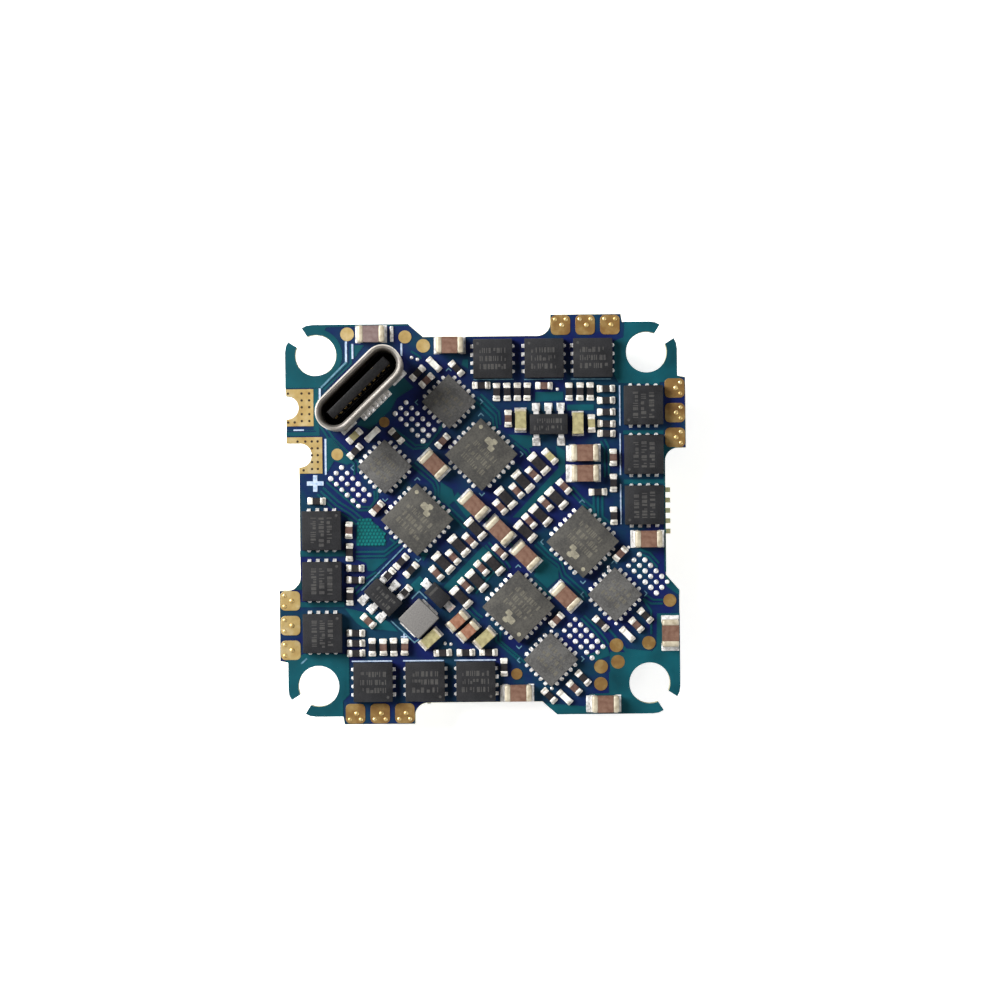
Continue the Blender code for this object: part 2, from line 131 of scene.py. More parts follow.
def add_node(tree, kind, settings=None, values=None, links=None):
    """A node with its settings and input values, joined to what it feeds and what feeds it."""
    node = tree.nodes.new("ShaderNode" + kind)
    for key, value in (settings or {}).items():
        setattr(node, key, value)
    for key, value in (values or {}).items():
        node.inputs[key].default_value = value
    for key, source in (links or {}).items():
        tree.links.new(source, node.inputs[key])
    return node


def place_of(tree):
    """The pattern coordinate of every material: the piece's own space, in metres."""
    return add_node(tree, "TexCoord").outputs["Object"]


def colour_by(tree, shader, factor, stops):
    """The base colour, blended between (position, colour) stops by a pattern."""
    ramp = add_node(tree, "ValToRGB", links={"Fac": factor})
    ramp.color_ramp.elements[0].position, ramp.color_ramp.elements[1].position = stops[0][0], stops[-1][0]
    for position, _ in stops[1:-1]:
        ramp.color_ramp.elements.new(position)
    for element, (_, colour) in zip(ramp.color_ramp.elements, stops):
        element.color = to_linear(colour)
    tree.links.new(ramp.outputs["Color"], shader.inputs["Base Color"])


def vary_roughness(tree, shader, factor, low, high):
    spread = add_node(
        tree, "MapRange", values={"To Min": low, "To Max": high}, links={"Value": factor}
    )
    tree.links.new(spread.outputs["Result"], shader.inputs["Roughness"])


def bump(tree, shader, height, depth):
    """Relief of the given depth in metres."""
    made = add_node(tree, "Bump", values={"Strength": 1.0, "Distance": depth}, links={"Height": height})
    tree.links.new(made.outputs["Normal"], shader.inputs["Normal"])


def mottle(tree, shader, grain, detail, stops, gloss=None, relief=None):
    """Clouds of one grain size in mm, which drive the colour, the roughness range and the relief."""
    values = {"Scale": 1 / (grain * MM), "Detail": detail}
    clouds = add_node(tree, "TexNoise", values=values, links={"Vector": place_of(tree)}).outputs["Fac"]
    colour_by(tree, shader, clouds, stops)
    if gloss:
        vary_roughness(tree, shader, clouds, *gloss)
    if relief:
        bump(tree, shader, clouds, relief)


def matt_card():
    """Opal white card on a light table: it glows faintly, so the board's shadow stays white."""
    made, tree, shader = new_material("matt_white_card", "#f7f7f5", 0.9)
    shader.inputs["Emission Color"].default_value = to_linear("#ffffff")
    shader.inputs["Emission Strength"].default_value = 0.55
    mottle(tree, shader, 0.4, 3, [(0.3, "#f4f4f3"), (0.7, "#f9f9f8")], relief=0.004 * MM)
    # The card is seen from above only, so the board can be looked at from below
    behind = add_node(tree, "NewGeometry").outputs["Backfacing"]
    clear = add_node(tree, "BsdfTransparent").outputs["BSDF"]
    sides = add_node(tree, "MixShader", links={0: behind, 1: shader.outputs["BSDF"], 2: clear})
    tree.links.new(sides.outputs["Shader"], tree.nodes["Material Output"].inputs["Surface"])
    return made


def link_mesh(name, bm, materials, smooth_angle=None):
    """The object made from a bmesh, which is used up."""
    mesh = bpy.data.meshes.new(name)
    bm.to_mesh(mesh)
    bm.free()
    for each in materials:
        mesh.materials.append(each)
    if smooth_angle is not None:
        mesh.shade_smooth()
        mesh.set_sharp_from_angle(angle=math.radians(smooth_angle))
    made = bpy.data.objects.new(name, mesh)
    bpy.context.scene.collection.objects.link(made)
    return made


floor_mesh = bmesh.new()
CARD_HALF_WIDTH = 0.6
bmesh.ops.create_grid(floor_mesh, x_segments=8, y_segments=8, size=CARD_HALF_WIDTH)
floor = link_mesh("studio_floor", floor_mesh, [matt_card()])
floor.location.z = -0.01 * MM


# ------------------------------------------------------------------------------------------------
# Circuit board
# Woven glass and epoxy laminate, 1.2 mm thick, routed to shape with an open hole in each corner.
# Dark blue solder mask is screened over both faces; the routed edges stay bare and pale.

HOLE_SPACING, HOLE_RADIUS = 25.5, 1.575
FLAT_EDGE, EAR_EDGE, TAB_EDGE = 14.1, 15.1, 15.72
BAYS = {"plus": (-14.05, 5.05, 0.92), "minus": (-14.98, 8.72, 0.88)}


def arc(centre, radius, start, end, steps):
    """Points on a circle, in millimetres, from one angle to another in degrees."""
    turns = [math.radians(start + (end - start) * i / steps) for i in range(steps + 1)]
    return [(centre[0] + radius * math.cos(t), centre[1] + radius * math.sin(t)) for t in turns]


def board_side():
    """The +Y side from left to right: ear, sloping step, plain edge, rounded corner and motor tab."""
    return (
        [(-13.0, EAR_EDGE), (-5.6, EAR_EDGE), (-4.45, FLAT_EDGE)]
        + arc((4.35, 15.1), 1.0, -90, 0, 10)
        + [(5.35, TAB_EDGE), (10.8, TAB_EDGE), (10.9, EAR_EDGE), (13.0, EAR_EDGE)]
    )


def board_ear(sign_x, sign_y):
    """The open hole of one corner, from the ear's Y edge round to its X edge."""
    half, neck = HOLE_SPACING / 2, 23.5
    points = (
        [(13.45, 15.03), (13.8, 14.85)]
        + arc((half, half), HOLE_RADIUS, 90 - neck, 360 + neck, 64)
        + [(14.85, 13.8), (15.03, 13.45)]
    )
    return [(x * sign_x, y * sign_y) for x, y in points]


def board_outline():
    top = board_side()
    right = [(y, x) for x, y in reversed(top)]
    lower_bay, upper_bay = (arc(b[:2], b[2], -90, 90, 24) for b in (BAYS["plus"], BAYS["minus"]))
    bay_edge = -15.05
    left = (
        [(-x, -y) for x, y in right if y > 0]
        + [(-FLAT_EDGE, lower_bay[0][1])]
        + lower_bay
        + [(bay_edge, lower_bay[-1][1]), (bay_edge, upper_bay[0][1])]
        + upper_bay
        + [(bay_edge, upper_bay[-1][1]), (-EAR_EDGE, 10.2), (-EAR_EDGE, 13.0)]
    )
    corners = [board_ear(1, 1), board_ear(1, -1)[::-1], board_ear(-1, -1), board_ear(-1, 1)[::-1]]
    bottom = [(-x, -y) for x, y in top]
    return top + corners[0] + right + corners[1] + bottom + corners[2] + left + corners[3]


def add_prism(bm, outline, low, high, top_index=0, side_index=0):
    """A straight-sided solid over an outline in millimetres, between two heights in metres."""
    base = [bm.verts.new((x * MM, y * MM, low)) for x, y in outline]
    cap = [bm.verts.new((x * MM, y * MM, high)) for x, y in outline]
    area = sum(a[0] * b[1] - b[0] * a[1] for a, b in zip(outline, outline[1:] + outline[:1]))
    if area < 0:
        base.reverse()
        cap.reverse()
    for ring, flip in ((base, True), (cap, False)):
        face = bm.faces.new(reversed(ring) if flip else ring)
        face.material_index = top_index
    count = len(base)
    for i in range(count):
        j = (i + 1) % count
        bm.faces.new((base[i], base[j], cap[j], cap[i])).material_index = side_index


def solder_mask(name, deep, bright, spread):
    """Cured liquid mask: a dark even film with a soft gloss, and a faint weave under it."""
    made, tree, shader = new_material(name, deep, 0.32)
    shader.inputs["Specular IOR Level"].default_value = 0.33
    place = place_of(tree)
    cloudy = add_node(
        tree, "TexNoise", values={"Scale": 1 / (2.6 * MM), "Detail": 3}, links={"Vector": place}
    )
    colour_by(tree, shader, cloudy.outputs["Fac"], [(0.5 - spread, deep), (0.5 + spread, bright)])
    yarn_width = 0.5 * MM
    weave = add_node(
        tree,
        "TexWave",
        {"wave_type": "BANDS", "bands_direction": "DIAGONAL"},
        {"Scale": 1 / yarn_width / 20, "Distortion": 0.6},
        {"Vector": place},
    )
    grain = add_node(
        tree, "TexNoise", values={"Scale": 1 / (0.12 * MM), "Detail": 2}, links={"Vector": place}
    )
    mixed = add_node(
        tree,
        "Math",
        {"operation": "MULTIPLY_ADD"},
        {1: 0.35},
        {0: weave.outputs["Fac"], 2: grain.outputs["Fac"]},
    )
    vary_roughness(tree, shader, grain.outputs["Fac"], 0.26, 0.42)
    bump(tree, shader, mixed.outputs["Value"], 0.003 * MM)
    return made


def routed_laminate():
    """Glass-epoxy cut by a router: pale yellow-green, dull, with the glass plies showing as lines."""
    made, tree, shader = new_material("routed_glass_epoxy", "#b9b48a", 0.7)
    ply = 0.12 * MM
    place = place_of(tree)
    plies = add_node(
        tree,
        "TexWave",
        {"wave_type": "BANDS", "bands_direction": "Z"},
        {"Scale": 1 / ply / 20, "Distortion": 1.5, "Detail": 2},
        {"Vector": place},
    )
    stops = [(0.2, "#7d7a55"), (0.6, "#9d9a74"), (0.9, "#b2af8c")]
    colour_by(tree, shader, plies.outputs["Fac"], stops)
    bump(tree, shader, plies.outputs["Fac"], 0.01 * MM)
    return made


mask_on_laminate = solder_mask("blue_solder_mask", "#081446", "#062b40", 0.1)
mask_on_copper = solder_mask("solder_mask_over_copper", "#03313a", "#084852", 0.22)
bare_edge = routed_laminate()

board_mesh = bmesh.new()
add_prism(board_mesh, board_outline(), BOARD_UNDER, BOARD_TOP, 0, 1)
board = link_mesh("board_laminate", board_mesh, [mask_on_laminate, bare_edge], 30)
board_edge_bevel = board.modifiers.new("routed_edge", "BEVEL")
board_edge_bevel.width = 0.03 * MM
board_edge_bevel.segments = 1
board_edge_bevel.limit_method = "ANGLE"
board_edge_bevel.angle_limit = math.radians(60)
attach(board, "board")
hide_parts("circuit_board")


# ------------------------------------------------------------------------------------------------
# Copper under the mask
# Etched foil 0.035 mm thick. The mask over it turns from blue to teal and stands up a little.
# Wide areas carry the motor and battery current, and narrow tracks run between the chips.

FOIL = 0.03 * MM
TRACK_FOIL = 0.038 * MM
HAIR = 0.0002 * MM  # keeps foil shapes that cross from lying in one plane
TOP_FOIL = BOARD_TOP + FOIL


def track_outline(points, width):
    """The outline of a track along points, with mitred corners."""
    path = [Vector(p) for p in points]
    sides = ([], [])
    for i, here in enumerate(path):
        before = (here - path[i - 1]).normalized() if i else None
        after = (path[i + 1] - here).normalized() if i + 1 < len(path) else None
        way = ((before or after) + (after or before)).normalized()
        across = Vector((-way.y, way.x))
        stretch = 1.0 if before is None or after is None else 1 / max(0.5, way.dot(after))
        for side, sign in zip(sides, (1, -1)):
            side.append(tuple(here + across * (sign * stretch * width / 2)))
    return sides[0] + sides[1][::-1]


def join_shapes(first, second, operation):
    """Replaces the first object's mesh by the result of uniting it with, or clipping it by, the second."""
    change = first.modifiers.new("join", "BOOLEAN")
    change.operation = operation
    change.solver = "EXACT"
    change.object = second
    graph = bpy.context.evaluated_depsgraph_get()
    made = bpy.data.meshes.new_from_object(first.evaluated_get(graph))
    first.modifiers.clear()
    first.data = made


# Broad areas of foil on the component side, corner by corner and then between the chips
top_areas = [
    [(-15.3, 13.9), (-14.2, 13.9), (-14.2, 12.0), (-13.4, 11.0), (-12.1, 11.4), (-11.7, 10.9), (-12.5, 10.25),
     (-15.3, 10.25)],
    [(-14.4, 15.3), (-5.4, 15.3), (-5.5, 14.95), (-11.9, 14.92), (-12.3, 14.2), (-14.4, 14.2)],
    [(-15.2, 7.0), (-12.95, 7.0), (-12.95, 10.2), (-12.55, 10.2), (-12.5, 6.55), (-15.2, 6.55), (-15.2, 6.85),
     (-12.75, 6.85), (-12.75, 6.95), (-15.2, 6.95)],
    [(-12.0, 6.4), (-11.6, 6.4), (-9.9, 4.5), (-10.4, 4.3), (-11.4, 4.6), (-12.0, 3.6)],
    [(-9.75, 13.5), (-9.0, 13.5), (-9.75, 12.5)],
    [(-9.6, 7.4), (-6.2, 11.2), (-5.2, 10.2), (-6.5, 9.4), (-7.0, 8.5), (-8.6, 7.0)],
    [(-3.2, 2.9), (-2.3, 2.3), (-2.1, 1.5), (-2.6, 1.1), (-3.3, 1.4)],
    [(-1.0, 12.3), (-1.0, 11.6), (-1.5, 11.9), (-1.4, 12.3)],
    [(10.25, 13.6), (11.0, 13.9), (11.1, 15.3), (15.3, 15.3), (15.3, 10.5), (13.75, 10.4), (13.7, 10.2),
     (10.6, 10.4), (10.25, 11.0)],
    [(4.15, 9.75), (6.3, 9.75), (6.3, 9.1), (4.15, 9.0)],
    [(6.6, 8.75), (8.65, 8.75), (8.65, 8.3), (6.6, 8.3)],
    [(2.3, 0.1), (3.0, 0.1), (6.4, 3.6), (6.4, 5.2), (5.7, 5.6), (5.9, 3.9)],
    [(2.0, 6.5), (3.9, 6.4), (3.9, 5.5), (3.3, 5.4)],
    [(10.9, 6.72), (14.0, 6.72), (14.0, 6.42), (10.9, 6.42)],
    [(10.9, 2.93), (14.0, 2.93), (14.0, 2.6), (10.9, 2.6)],
    [(13.95, 5.6), (15.0, 5.6), (14.2, 4.2), (14.2, -4.2), (13.97, -4.2)],
    [(-14.3, -2.3), (-10.6, -2.3), (-10.6, -2.75), (-14.3, -2.75)],
    [(-14.3, -6.25), (-10.7, -6.25), (-10.7, -6.65), (-14.3, -6.65)],
    [(-14.6, -5.3), (-14.0, -4.6), (-14.0, -5.3)],
    [(-9.9, -2.95), (-7.3, -2.95), (-8.4, -3.9), (-8.9, -3.9), (-9.0, -3.3)],
    [(-10.7, -6.75), (-9.9, -6.9), (-8.3, -7.3), (-7.2, -7.9), (-6.6, -8.6), (-9.3, -8.25), (-9.8, -7.9)],
    [(-15.3, -10.6), (-13.6, -10.2), (-10.4, -10.3), (-10.4, -13.4), (-10.9, -13.9), (-10.9, -15.3),
     (-15.3, -15.3)],
    [(-5.7, -5.1), (-4.9, -4.3), (-4.4, -4.9), (-5.1, -5.6)],
    [(-4.9, -2.5), (-4.2, -2.6), (-4.6, -3.2)],
    [(-3.1, -5.2), (0.0, -2.1), (0.6, -2.6), (-2.5, -5.7)],
    [(4.6, -2.9), (5.8, -3.9), (5.8, -4.6), (4.9, -5.4), (3.9, -4.4)],
    [(14.0, -4.4), (15.3, -4.8), (15.3, -6.0), (14.9, -5.9), (14.1, -5.3)],
    [(13.35, -7.4), (15.3, -7.4), (15.3, -15.3), (10.8, -15.3), (10.6, -13.4), (11.3, -12.6), (11.6, -11.3),
     (12.6, -10.75), (13.3, -9.9)],
    [(9.2, -7.9), (11.0, -10.1), (12.9, -10.3), (12.9, -10.7), (11.1, -10.7), (9.9, -9.0), (9.0, -8.2)],
    [(9.6, -11.9), (10.3, -11.8), (10.6, -13.3), (10.8, -15.3), (5.0, -15.3), (4.4, -14.2), (7.7, -14.5),
     (8.1, -13.55), (9.6, -13.5)],
    [(7.9, -10.6), (9.5, -9.9), (9.7, -10.6), (8.6, -11.0)],
    [(9.7, -10.3), (12.9, -10.5), (11.6, -11.4), (11.3, -12.6), (10.8, -13.5), (9.7, -13.5)],
    [(-1.2, 0.1), (-0.6, 0.6), (-1.9, 2.1), (-2.3, 1.6)],
]
clip_mesh = bmesh.new()
add_prism(clip_mesh, board_outline(), BOARD_TOP - 0.1 * MM, BOARD_TOP + 1 * MM)
clip = link_mesh("clip", clip_mesh, [])
area_mesh = bmesh.new()
for number, outline in enumerate(top_areas):
    patch_mesh = bmesh.new()
    add_prism(patch_mesh, outline, BOARD_TOP - 0.2 * MM, TOP_FOIL + number * HAIR)
    patch = link_mesh("patch", patch_mesh, [])
    join_shapes(patch, clip, "INTERSECT")
    area_mesh.from_mesh(patch.data)
    bpy.data.objects.remove(patch, do_unlink=True)
bpy.data.objects.remove(clip, do_unlink=True)
areas = link_mesh("copper_areas_top", area_mesh, [mask_on_copper])
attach(areas, "board")

# Tracks on the component side, each a list of points; a number in front repeats it side by side
TRACK_WIDTH, TRACK_PITCH = 0.16, 0.34
top_tracks = [
    (3, [(-12.5, 2.3), (-11.3, 1.2), (-10.2, 0.5), (-9.5, -0.1)]),
    (2, [(-12.3, 7.4), (-11.6, 6.3), (-9.7, 4.4), (-9.7, 3.6)]),
    (2, [(-11.9, 3.1), (-9.4, 0.9), (-8.7, 0.9), (-8.2, 1.6), (-8.2, 2.4)]),
    (2, [(-5.3, 4.3), (-3.7, 2.9), (-3.5, 2.4), (-3.5, 1.7), (-2.5, 0.7), (-1.2, -0.6)]),
    (2, [(-7.0, 7.0), (-5.2, 5.6), (-4.2, 5.7), (-3.2, 6.9), (-3.1, 7.3)]),
    (3, [(-0.3, 9.4), (1.1, 8.0), (1.2, 7.0)]),
    (2, [(-10.2, 13.6), (-10.2, 12.1), (-12.3, 10.1)]),
    (1, [(-5.4, 13.0), (-4.9, 12.7), (-4.6, 12.4)]),
    (2, [(2.6, 6.0), (3.5, 5.2), (3.6, 4.9)]),
    (2, [(6.8, 2.3), (7.6, 1.4), (8.5, 0.6), (8.5, -0.4)]),
    (3, [(8.9, 1.7), (8.9, 0.1), (9.5, -0.4)]),
    (2, [(9.3, 6.0), (9.6, 5.4), (9.6, 3.2)]),
    (2, [(4.1, -1.9), (5.1, -2.9), (5.9, -3.5), (6.2, -4.4), (7.7, -5.8), (7.9, -6.2)]),
    (2, [(1.1, -8.7), (1.1, -9.4), (2.6, -10.7), (3.0, -11.1)]),
    (2, [(7.6, -7.6), (8.6, -8.6), (9.3, -9.5), (9.5, -9.9)]),
    (2, [(12.0, -2.6), (12.8, -2.9), (13.5, -3.7)]),
    (2, [(12.4, -6.1), (13.0, -6.5), (13.9, -6.5)]),
    (1, [(12.3, -6.3), (12.9, -7.2), (12.9, -9.0)]),
    (1, [(10.9, -10.3), (11.2, -10.75), (12.9, -10.75)]),
    (1, [(10.3, -11.7), (10.3, -12.7), (10.7, -13.0)]),
    (2, [(-9.8, -2.6), (-7.6, -2.6), (-6.3, -1.6)]),
    (2, [(-10.0, -5.6), (-9.2, -4.8), (-8.1, -4.1)]),
    (1, [(-7.2, -1.4), (-6.8, -1.7)]),
    (2, [(-1.6, -6.3), (-0.6, -7.4), (-0.2, -7.7)]),
    (2, [(0.3, -1.9), (1.6, -3.3), (2.0, -3.9)]),
    (2, [(1.0, -3.7), (0.4, -4.3), (-0.7, -5.6)]),
    (1, [(0.2, 0.1), (1.7, -1.5), (4.4, -4.3)]),
    (2, [(3.9, -4.9), (4.6, -5.6), (5.2, -6.3)]),
]


def side_by_side(bundles):
    """The outline of every copy of every bundle of tracks."""
    outlines = []
    for copies, points in bundles:
        first = Vector(points[1]) - Vector(points[0])
        aside = Vector((-first.y, first.x)).normalized() * TRACK_PITCH
        for k in range(copies):
            offset = aside * (k - (copies - 1) / 2)
            moved = [(x + offset.x, y + offset.y) for x, y in points]
            outlines.append(track_outline(moved, TRACK_WIDTH))
    return outlines


track_mesh = bmesh.new()
for number, outline in enumerate(side_by_side(top_tracks)):
    add_prism(track_mesh, outline, BOARD_TOP - 0.01 * MM, BOARD_TOP + TRACK_FOIL + number * HAIR / 2)
tracks = link_mesh("copper_tracks_top", track_mesh, [mask_on_copper])
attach(tracks, "board")

# The open area beside the left driver is stitched to the ground layer by a close grid of vias
VIA_SPACING, VIA_RADIUS = 0.27, 0.1
STITCH_TOP = BOARD_TOP + 0.046 * MM
stitch_corner_low, stitch_corner_high = (-9.6, -1.85), (-7.6, 0.05)
stitch_mesh = bmesh.new()
rows = int((stitch_corner_high[1] - stitch_corner_low[1]) / VIA_SPACING)
stitch_outline = [(-9.75, -1.95), (-9.7, -0.5), (-9.3, 0.1), (-8.8, 0.2), (-7.6, -0.9), (-7.5, -1.95)]
add_prism(stitch_mesh, stitch_outline, BOARD_TOP - 0.01 * MM, STITCH_TOP)
for row in range(rows + 1):
    y = stitch_corner_low[1] + row * VIA_SPACING
    reach = min(stitch_corner_high[0], -7.65 - max(0.0, y + 1.0) * 1.05)
    count = int((reach - stitch_corner_low[0]) / VIA_SPACING)
    for column in range(count + 1):
        x = stitch_corner_low[0] + (column + 0.5 * (row % 2)) * VIA_SPACING
        dome = arc((x, y), VIA_RADIUS, 0, 315, 7)
        add_prism(stitch_mesh, dome, STITCH_TOP - 0.01 * MM, STITCH_TOP + 0.05 * MM, 1, 1)
mask_on_stitching = solder_mask("solder_mask_over_stitching", "#043f45", "#074d50", 0.15)
mask_on_vias = solder_mask("solder_mask_over_vias", "#0a5756", "#0f6765", 0.15)
stitching = link_mesh("via_stitching", stitch_mesh, [mask_on_stitching, mask_on_vias])
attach(stitching, "board")


# ------------------------------------------------------------------------------------------------
# Bare pads
# Copper left open in the mask and plated with nickel and a thin film of gold.
# Motor wires solder to the square pads on the tabs, battery wires to the two large ones.

PAD_TOP = BOARD_HIGH + 0.01 * MM


def rounded_square(centre, size, radius, steps=5):
    """The outline of a square or oblong pad with round corners."""
    (x, y), (w, h) = centre, (size[0] / 2 - radius, size[1] / 2 - radius)
    corners = ((w, h, 0), (-w, h, 90), (-w, -h, 180), (w, -h, 270))
    return [p for i, j, turn in corners for p in arc((x + i, y + j), radius, turn, turn + 90, steps)]


def gold_plate(name, deep, middle, bright, patch):
    """Soft plated gold over grainy copper: warm metal, brighter where it has been rubbed."""
    made, tree, shader = new_material(name, middle, 0.42, 0.7)
    place = place_of(tree)
    patches = add_node(
        tree, "TexNoise", values={"Scale": 1 / (patch * MM), "Detail": 4}, links={"Vector": place}
    )
    stops = [(0.32, deep), (0.5, middle), (0.68, bright)]
    colour_by(tree, shader, patches.outputs["Fac"], stops)
    grain = add_node(
        tree, "TexNoise", values={"Scale": 1 / (0.05 * MM), "Detail": 2}, links={"Vector": place}
    )
    vary_roughness(tree, shader, patches.outputs["Fac"], 0.5, 0.28)
    bump(tree, shader, grain.outputs["Fac"], 0.004 * MM)
    return made


def dark_hole():
    """The inside of a plated through hole, where no light comes back."""
    made, tree, shader = new_material("hole_in_shadow", "#2a1d0c", 0.9)
    mottle(tree, shader, 0.1, 2, [(0.3, "#1c1206"), (0.7, "#3a2a14")])
    return made


bright_gold = gold_plate("immersion_gold_bright", "#b3955c", "#c7ac70", "#dac492", 0.8)
deep_gold = gold_plate("immersion_gold_deep", "#85633a", "#9b7845", "#b99a62", 0.9)
hole_shadow = dark_hole()

PAD_SIZE, PAD_RADIUS = (1.5, 1.52), 0.36
PAD_OUT = 14.88
pad_rows = {
    "motor_pads_front": (deep_gold, [(x, PAD_OUT) for x in (6.15, 8.05, 9.95)], (0, 1)),
    "motor_pads_right": (deep_gold, [(PAD_OUT, y) for y in (9.95, 8.05, 6.15)], (1, 0)),
    "motor_pads_rear": (deep_gold, [(-x, -PAD_OUT) for x in (6.15, 8.05, 9.95)], (0, -1)),
    "motor_pads_left": (bright_gold, [(-PAD_OUT, -y) for y in (6.15, 8.05, 9.95)], (-1, 0)),
}


def add_dome(bm, centre, radius, low, height, index=0, steps=12, rings=3):
    """A low round bump of solder or plating."""
    edge = None
    for ring in range(rings + 1):
        rise = math.pi / 2 * ring / rings
        level = low + height * math.sin(rise)
        if ring == rings:
            tip = bm.verts.new((centre[0] * MM, centre[1] * MM, level))
            for i in range(steps):
                bm.faces.new((edge[i], edge[(i + 1) % steps], tip)).material_index = index
            break
        across = radius * math.cos(rise)
        turns = [2 * math.pi * i / steps for i in range(steps)]
        points = [(centre[0] + across * math.cos(t), centre[1] + across * math.sin(t)) for t in turns]
        loop = [bm.verts.new((x * MM, y * MM, level)) for x, y in points]
        if edge:
            for i in range(steps):
                j = (i + 1) % steps
                bm.faces.new((edge[i], edge[j], loop[j], loop[i])).material_index = index
        else:
            bm.faces.new(reversed(loop)).material_index = index
        edge = loop


for pad_name, (plating, centres, outward) in pad_rows.items():
    pad_mesh = bmesh.new()
    for x, y in centres:
        size = PAD_SIZE if outward[1] else PAD_SIZE[::-1]
        add_prism(pad_mesh, rounded_square((x, y), size, PAD_RADIUS), BOARD_TOP, PAD_TOP)
        add_dome(pad_mesh, (x + 0.1, y), 0.2, PAD_TOP, 0.09 * MM, 1)
        for side in (-1, 1):
            out_x = x + outward[0] * 0.45 + outward[1] * side * 0.42
            out_y = y + outward[1] * 0.45 + outward[0] * side * 0.42
            add_dome(pad_mesh, (out_x, out_y), 0.17, PAD_TOP, 0.07 * MM, 1)
    pads = link_mesh(pad_name, pad_mesh, [plating, bright_gold], 40)
    pad_bevel = pads.modifiers.new("plated_edge", "BEVEL")
    pad_bevel.width = 0.02 * MM
    pad_bevel.limit_method = "ANGLE"
    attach(pads, "board")

BAY_CLEARANCE = 0.01
minus_x, minus_y, minus_radius = BAYS["minus"]
plus_x, plus_y, plus_radius = BAYS["plus"]
battery_outlines = [
    [(-15.04, 10.15), (-15.04, minus_y + minus_radius + BAY_CLEARANCE)]
    + arc((minus_x, minus_y), minus_radius + BAY_CLEARANCE, 90, -90, 24)
    + [(-15.04, minus_y - minus_radius - BAY_CLEARANCE), (-15.04, 7.3), (-12.95, 7.3), (-12.95, 10.15)],
    [(-15.04, 6.45), (-15.04, plus_y + plus_radius + BAY_CLEARANCE)]
    + arc((plus_x, plus_y), plus_radius + BAY_CLEARANCE, 90, -90, 24)
    + [(-14.09, plus_y - plus_radius - BAY_CLEARANCE), (-14.09, 3.65), (-12.3, 3.65), (-12.3, 6.45)],
]
battery_mesh = bmesh.new()
for outline in battery_outlines:
    add_prism(battery_mesh, outline, BOARD_TOP, PAD_TOP)
minus_holes = [(-13.27 - 0.58 * i, 9.82 - 0.53 * j) for i in (0, 1) for j in range(5)]
minus_holes += [(-14.9, 9.82), (-14.9, 7.6), (-14.4, 7.6)]
plus_holes = [(-12.65 - 0.45 * i, 6.12 - 0.53 * j) for i in (0, 1) for j in range(5)]
plus_holes += [(-13.6, 6.12), (-14.2, 6.12), (-13.75, 3.9)]
for x, y in minus_holes + plus_holes:
    add_prism(battery_mesh, arc((x, y), 0.1, 0, 330, 11), PAD_TOP - 0.01 * MM, PAD_TOP + 0.004 * MM, 1, 1)
battery_pads = link_mesh("battery_pads", battery_mesh, [bright_gold, hole_shadow])
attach(battery_pads, "board")

# Round pads for test probes and signal wires, each (x, y, diameter)
bright_rounds = [(-10.3, 14.35, 1.05), (-5.85, 14.1, 1.0), (-4.45, 13.4, 1.05), (-11.15, 5.1, 0.9)]
deep_rounds = [
    (-7.5, 7.55, 0.8), (14.35, -6.4, 1.0), (10.2, -9.82, 1.06), (12.7, -9.65, 1.04),
    (10.3, -11.1, 1.06), (9.0, -11.45, 1.06), (8.97, -12.78, 1.04), (2.5, -11.95, 0.86),
]
for pad_name, plating, rounds in (
    ("test_pads_front", bright_gold, bright_rounds),
    ("test_pads_rear", deep_gold, deep_rounds),
):
    round_mesh = bmesh.new()
    for x, y, width in rounds:
        add_prism(round_mesh, arc((x, y), width / 2, 0, 350, 35), BOARD_TOP, PAD_TOP - 0.003 * MM)
    rounds_piece = link_mesh(pad_name, round_mesh, [plating], 40)
    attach(rounds_piece, "board")


# ------------------------------------------------------------------------------------------------
# Printed lines
# Pale blue-white epoxy ink screened on the mask: outlines beside the chips, and the battery's signs.
# The ink lies a few hundredths of a millimetre proud.

INK_TOP = BOARD_TOP + 0.055 * MM


def screen_ink(name, thin, full):
    """Cured ink: matt, off-white with a cold cast, thinner in places so that the blue shows through."""
    made, tree, shader = new_material(name, full, 0.6)
    mottle(tree, shader, 0.25, 3, [(0.3, thin), (0.6, full)], relief=0.005 * MM)
    return made


ink = screen_ink("screen_printed_ink", "#788fa9", "#a7b5c9")
thin_ink = screen_ink("screen_printed_ink_thin", "#2c5668", "#527a8c")

# Outlines beside the chips, as (points, width); the first group came out of the screen at full strength
full_lines = [
    ([(-10.4, 13.8), (-10.4, 12.2)], 0.16), ([(-9.9, 13.6), (-9.9, 12.45)], 0.14),
    ([(-6.13, 13.6), (-6.13, 12.65)], 0.14), ([(-12.05, 6.3), (-12.05, 3.55)], 0.14),
    ([(-12.45, 10.2), (-12.45, 9.4)], 0.16), ([(-14.5, 7.0), (-13.7, 7.0)], 0.1),
    ([(10.65, 10.2), (10.65, 7.1)], 0.1), ([(10.65, 6.5), (10.65, 3.3)], 0.1),
    ([(10.65, 2.6), (10.65, -0.5)], 0.1), ([(-10.2, -10.85), (-7.1, -10.85)], 0.1),
    ([(-6.25, -10.85), (-3.1, -10.85)], 0.1), ([(-2.3, -10.85), (0.9, -10.85)], 0.1),
    ([(-5.9, 11.5), (-7.2, 10.15)], 0.1), ([(-6.4, -9.0), (-5.9, -9.0)], 0.1),
    ([(-6.15, -8.75), (-6.15, -9.25)], 0.1),
]
